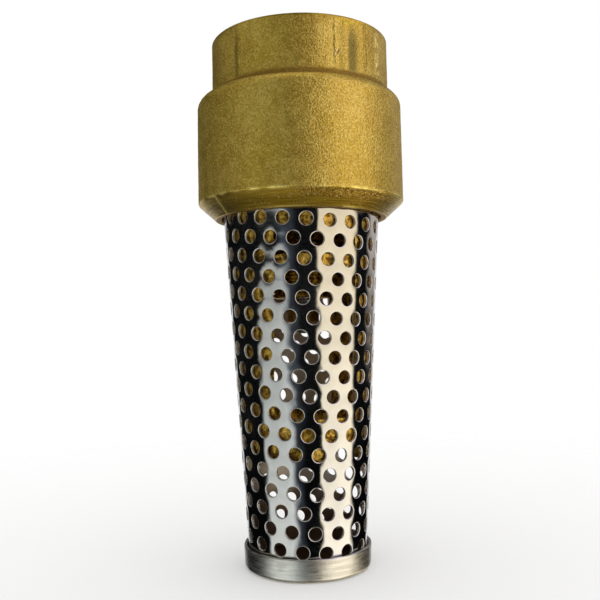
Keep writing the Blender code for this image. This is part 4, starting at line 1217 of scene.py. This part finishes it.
def studio_world():
    """White surround for the eye; softboxes and dark cards for the metal."""
    world = bpy.data.worlds.new("studio")
    bpy.context.scene.world = world
    world.use_nodes = True
    t = world.node_tree
    t.nodes.clear()
    new = t.nodes.new

    def link(a, b):
        t.links.new(a, b)

    def m(op, a, b=0.0, c=0.0, clamp=False):
        n = new("ShaderNodeMath")
        n.operation = op
        n.use_clamp = clamp
        for i, v in enumerate((a, b, c)):
            if isinstance(v, bpy.types.NodeSocket):
                link(v, n.inputs[i])
            else:
                n.inputs[i].default_value = v
        return n.outputs[0]

    def step(v, a, b):
        n = new("ShaderNodeMapRange")
        n.interpolation_type = "SMOOTHSTEP"
        link(v, n.inputs["Value"])
        n.inputs["From Min"].default_value = a
        n.inputs["From Max"].default_value = b
        return n.outputs["Result"]

    def window(v, a0, a1, b0, b1):
        return m("MULTIPLY", step(v, a0, a1), m("SUBTRACT", 1.0, step(v, b0, b1)))

    coord = new("ShaderNodeTexCoord")
    sep = new("ShaderNodeSeparateXYZ")
    link(coord.outputs["Generated"], sep.inputs[0])
    x, y, z = sep.outputs
    az = m("MULTIPLY", m("ARCTAN2", x, m("MULTIPLY", y, -1.0)), 180.0 / math.pi)
    el = m("MULTIPLY", m("ARCSINE", z), 180.0 / math.pi)

    def lamp(mask, colour, power):
        rgb = new("ShaderNodeMix")
        rgb.data_type = "RGBA"
        link(m("MULTIPLY", mask, power), rgb.inputs[0])
        rgb.clamp_factor = False
        rgb.inputs[6].default_value = (0, 0, 0, 1)
        rgb.inputs[7].default_value = (*colour, 1.0)
        return rgb.outputs[2]

    def add(a, b):
        n = new("ShaderNodeMix")
        n.data_type = "RGBA"
        n.blend_type = "ADD"
        n.inputs[0].default_value = 1.0
        n.clamp_result = False
        link(a, n.inputs[6])
        link(b, n.inputs[7])
        return n.outputs[2]

    # warm key on the right, cool fill on the left; both grow brighter towards the floor
    low = step(el, -14.0, -8.5)
    depth = m("DIVIDE", m("SUBTRACT", 2.0, el), 24.0, clamp=True)
    key_az = m("ADD", az, m("MULTIPLY", low, 4.0))
    key_mask = m("MULTIPLY", window(key_az, 25.0, 31.0, 86.0, 95.0), window(el, -62.0, -50.0, 50.0, 66.0))
    across = m("ADD", 0.95, m("MULTIPLY", step(az, 26.0, 92.0), 0.11))
    high = step(el, 4.0, 10.0)
    key_top = m("MULTIPLY", m("MULTIPLY", key_mask, across), m("SUBTRACT", 1.0, depth))
    key = add(lamp(m("MULTIPLY", key_top, m("SUBTRACT", 1.0, high)), (1.0, 0.865, 0.60), 1.12),
              lamp(m("MULTIPLY", key_top, high), (1.0, 0.89, 1.06), 1.06))
    key_low = lamp(m("MULTIPLY", m("MULTIPLY", key_mask, across), depth), (1.0, 0.925, 0.765), 1.48)
    key_side = lamp(m("MULTIPLY", window(az, 48.0, 74.0, 104.0, 122.0), window(el, 5.0, 14.0, 45.0, 62.0)),
                    (1.0, 0.92, 1.05), 0.42)
    fill_az = m("ADD", az, m("MULTIPLY", low, 5.0))
    left_az = m("SUBTRACT", az, m("MULTIPLY", step(el, -8.0, 1.0), 15.0))
    fill_mask = m("MULTIPLY", m("MULTIPLY", step(left_az, -80.0, -70.0), m("SUBTRACT", 1.0, step(fill_az, -29.0, -12.0))),
                  window(el, -60.0, -48.0, -2.6, 0.9))
    fill = lamp(m("MULTIPLY", fill_mask, m("ADD", 0.52, m("MULTIPLY", depth, 0.48))), (0.955, 1.0, 0.945), 0.86)
    fringe = lamp(m("MULTIPLY", window(fill_az, -36.0, -24.0, -24.0, 2.0), window(el, -60.0, -48.0, 0.0, 8.0)),
                  (0.58, 0.70, 0.88), 0.11)
    fill_up = lamp(m("MULTIPLY", window(az, -75.0, -55.0, -38.0, -22.0), window(el, 2.0, 12.0, 40.0, 62.0)),
                   (0.74, 0.88, 0.86), 0.24)
    back = lamp(m("MULTIPLY", step(m("ABSOLUTE", az), 146.0, 156.0), window(el, -55.0, -40.0, 4.0, 13.0)),
                (1.0, 1.0, 1.0), 0.9)
    side = lamp(m("MULTIPLY", window(az, 114.0, 126.0, 142.0, 156.0), window(el, -8.0, 7.0, 30.0, 50.0)),
                (1.0, 0.90, 0.80), 0.60)
    top = lamp(step(el, 58.0, 74.0), (1.0, 0.98, 0.94), 0.9)
    under = lamp(m("SUBTRACT", 1.0, step(el, -80.0, -62.0)), (1.0, 0.90, 0.66), 0.36)
    under_side = lamp(m("MULTIPLY", window(az, 70.0, 105.0, 150.0, 175.0), window(el, -78.0, -66.0, -48.0, -34.0)),
                      (1.0, 0.80, 0.46), 0.40)
    cap_side = lamp(m("MULTIPLY", window(az, 86.0, 98.0, 120.0, 134.0), window(el, -40.0, -35.0, -30.0, -23.0)),
                    (1.0, 0.84, 0.54), 1.50)
    cap_front = lamp(m("MULTIPLY", window(az, -18.0, -8.0, 14.0, 26.0), window(el, -50.0, -42.0, -33.0, -25.0)),
                     (0.96, 1.0, 0.90), 0.34)
    under_left = lamp(m("MULTIPLY", window(az, -165.0, -135.0, -62.0, -30.0), window(el, -86.0, -78.0, -54.0, -40.0)),
                      (1.0, 0.92, 0.62), 0.17)
    neck_edge = lamp(m("MULTIPLY", window(az, -124.0, -98.0, -66.0, -50.0), window(el, 20.5, 26.0, 44.0, 58.0)),
                     (1.0, 0.93, 0.66), 0.26)
    neck_left = lamp(m("MULTIPLY", window(az, -132.0, -98.0, 8.0, 36.0), window(el, 20.5, 26.0, 44.0, 58.0)),
                     (1.0, 0.93, 0.66), 0.145)
    base = lamp(m("ADD", 1.0, m("MULTIPLY", el, 0.0)), (0.80, 0.86, 1.0), 0.003)
    metal = add(add(add(key, key_low), add(fill, back)), add(add(under, fill_up), add(base, side)))
    metal = add(metal, add(add(key_side, fringe), add(top, under_side)))
    metal = add(metal, add(add(cap_side, cap_front), add(neck_left, add(neck_edge, under_left))))

    path = new("ShaderNodeLightPath")
    white = new("ShaderNodeRGB")
    white.outputs[0].default_value = (1.0, 1.0, 1.0, 1.0)
    pick = new("ShaderNodeMix")
    pick.data_type = "RGBA"
    link(path.outputs["Is Glossy Ray"], pick.inputs[0])
    link(white.outputs[0], pick.inputs[6])
    link(metal, pick.inputs[7])
    bg = new("ShaderNodeBackground")
    link(pick.outputs[2], bg.inputs["Color"])
    bg.inputs["Strength"].default_value = 1.0
    out = new("ShaderNodeOutputWorld")
    link(bg.outputs[0], out.inputs["Surface"])
    return world


def camera():
    cam = bpy.data.cameras.new("camera")
    cam.sensor_width = 36.0
    cam.sensor_fit = "HORIZONTAL"
    cam.lens = 742.99 / 600.0 * 36.0
    cam.clip_start = 0.01
    cam.clip_end = 50.0
    obj = bpy.data.objects.new("camera", cam)
    bpy.context.scene.collection.objects.link(obj)
    pitch, roll, yaw = math.radians(2.33), math.radians(-1.18), math.radians(-0.22)
    fwd = Vector((math.sin(yaw) * math.cos(pitch), math.cos(yaw) * math.cos(pitch), math.sin(pitch)))
    right = Vector((math.cos(yaw), -math.sin(yaw), 0.0))
    up = right.cross(fwd)
    r2 = right * math.cos(roll) + up * math.sin(roll)
    u2 = -right * math.sin(roll) + up * math.cos(roll)
    rot = Matrix((r2, u2, -fwd)).transposed()
    obj.matrix_world = Matrix.Translation((0.0, -0.21670, 0.06691)) @ rot.to_4x4()
    bpy.context.scene.camera = obj
    return obj


floor_piece()
studio_world()
camera()
scene = bpy.context.scene
scene.view_settings.view_transform = "Standard"
scene.view_settings.look = "None"
scene.view_settings.exposure = 0.0
scene.view_settings.gamma = 1.0

bpy.context.view_layer.update()
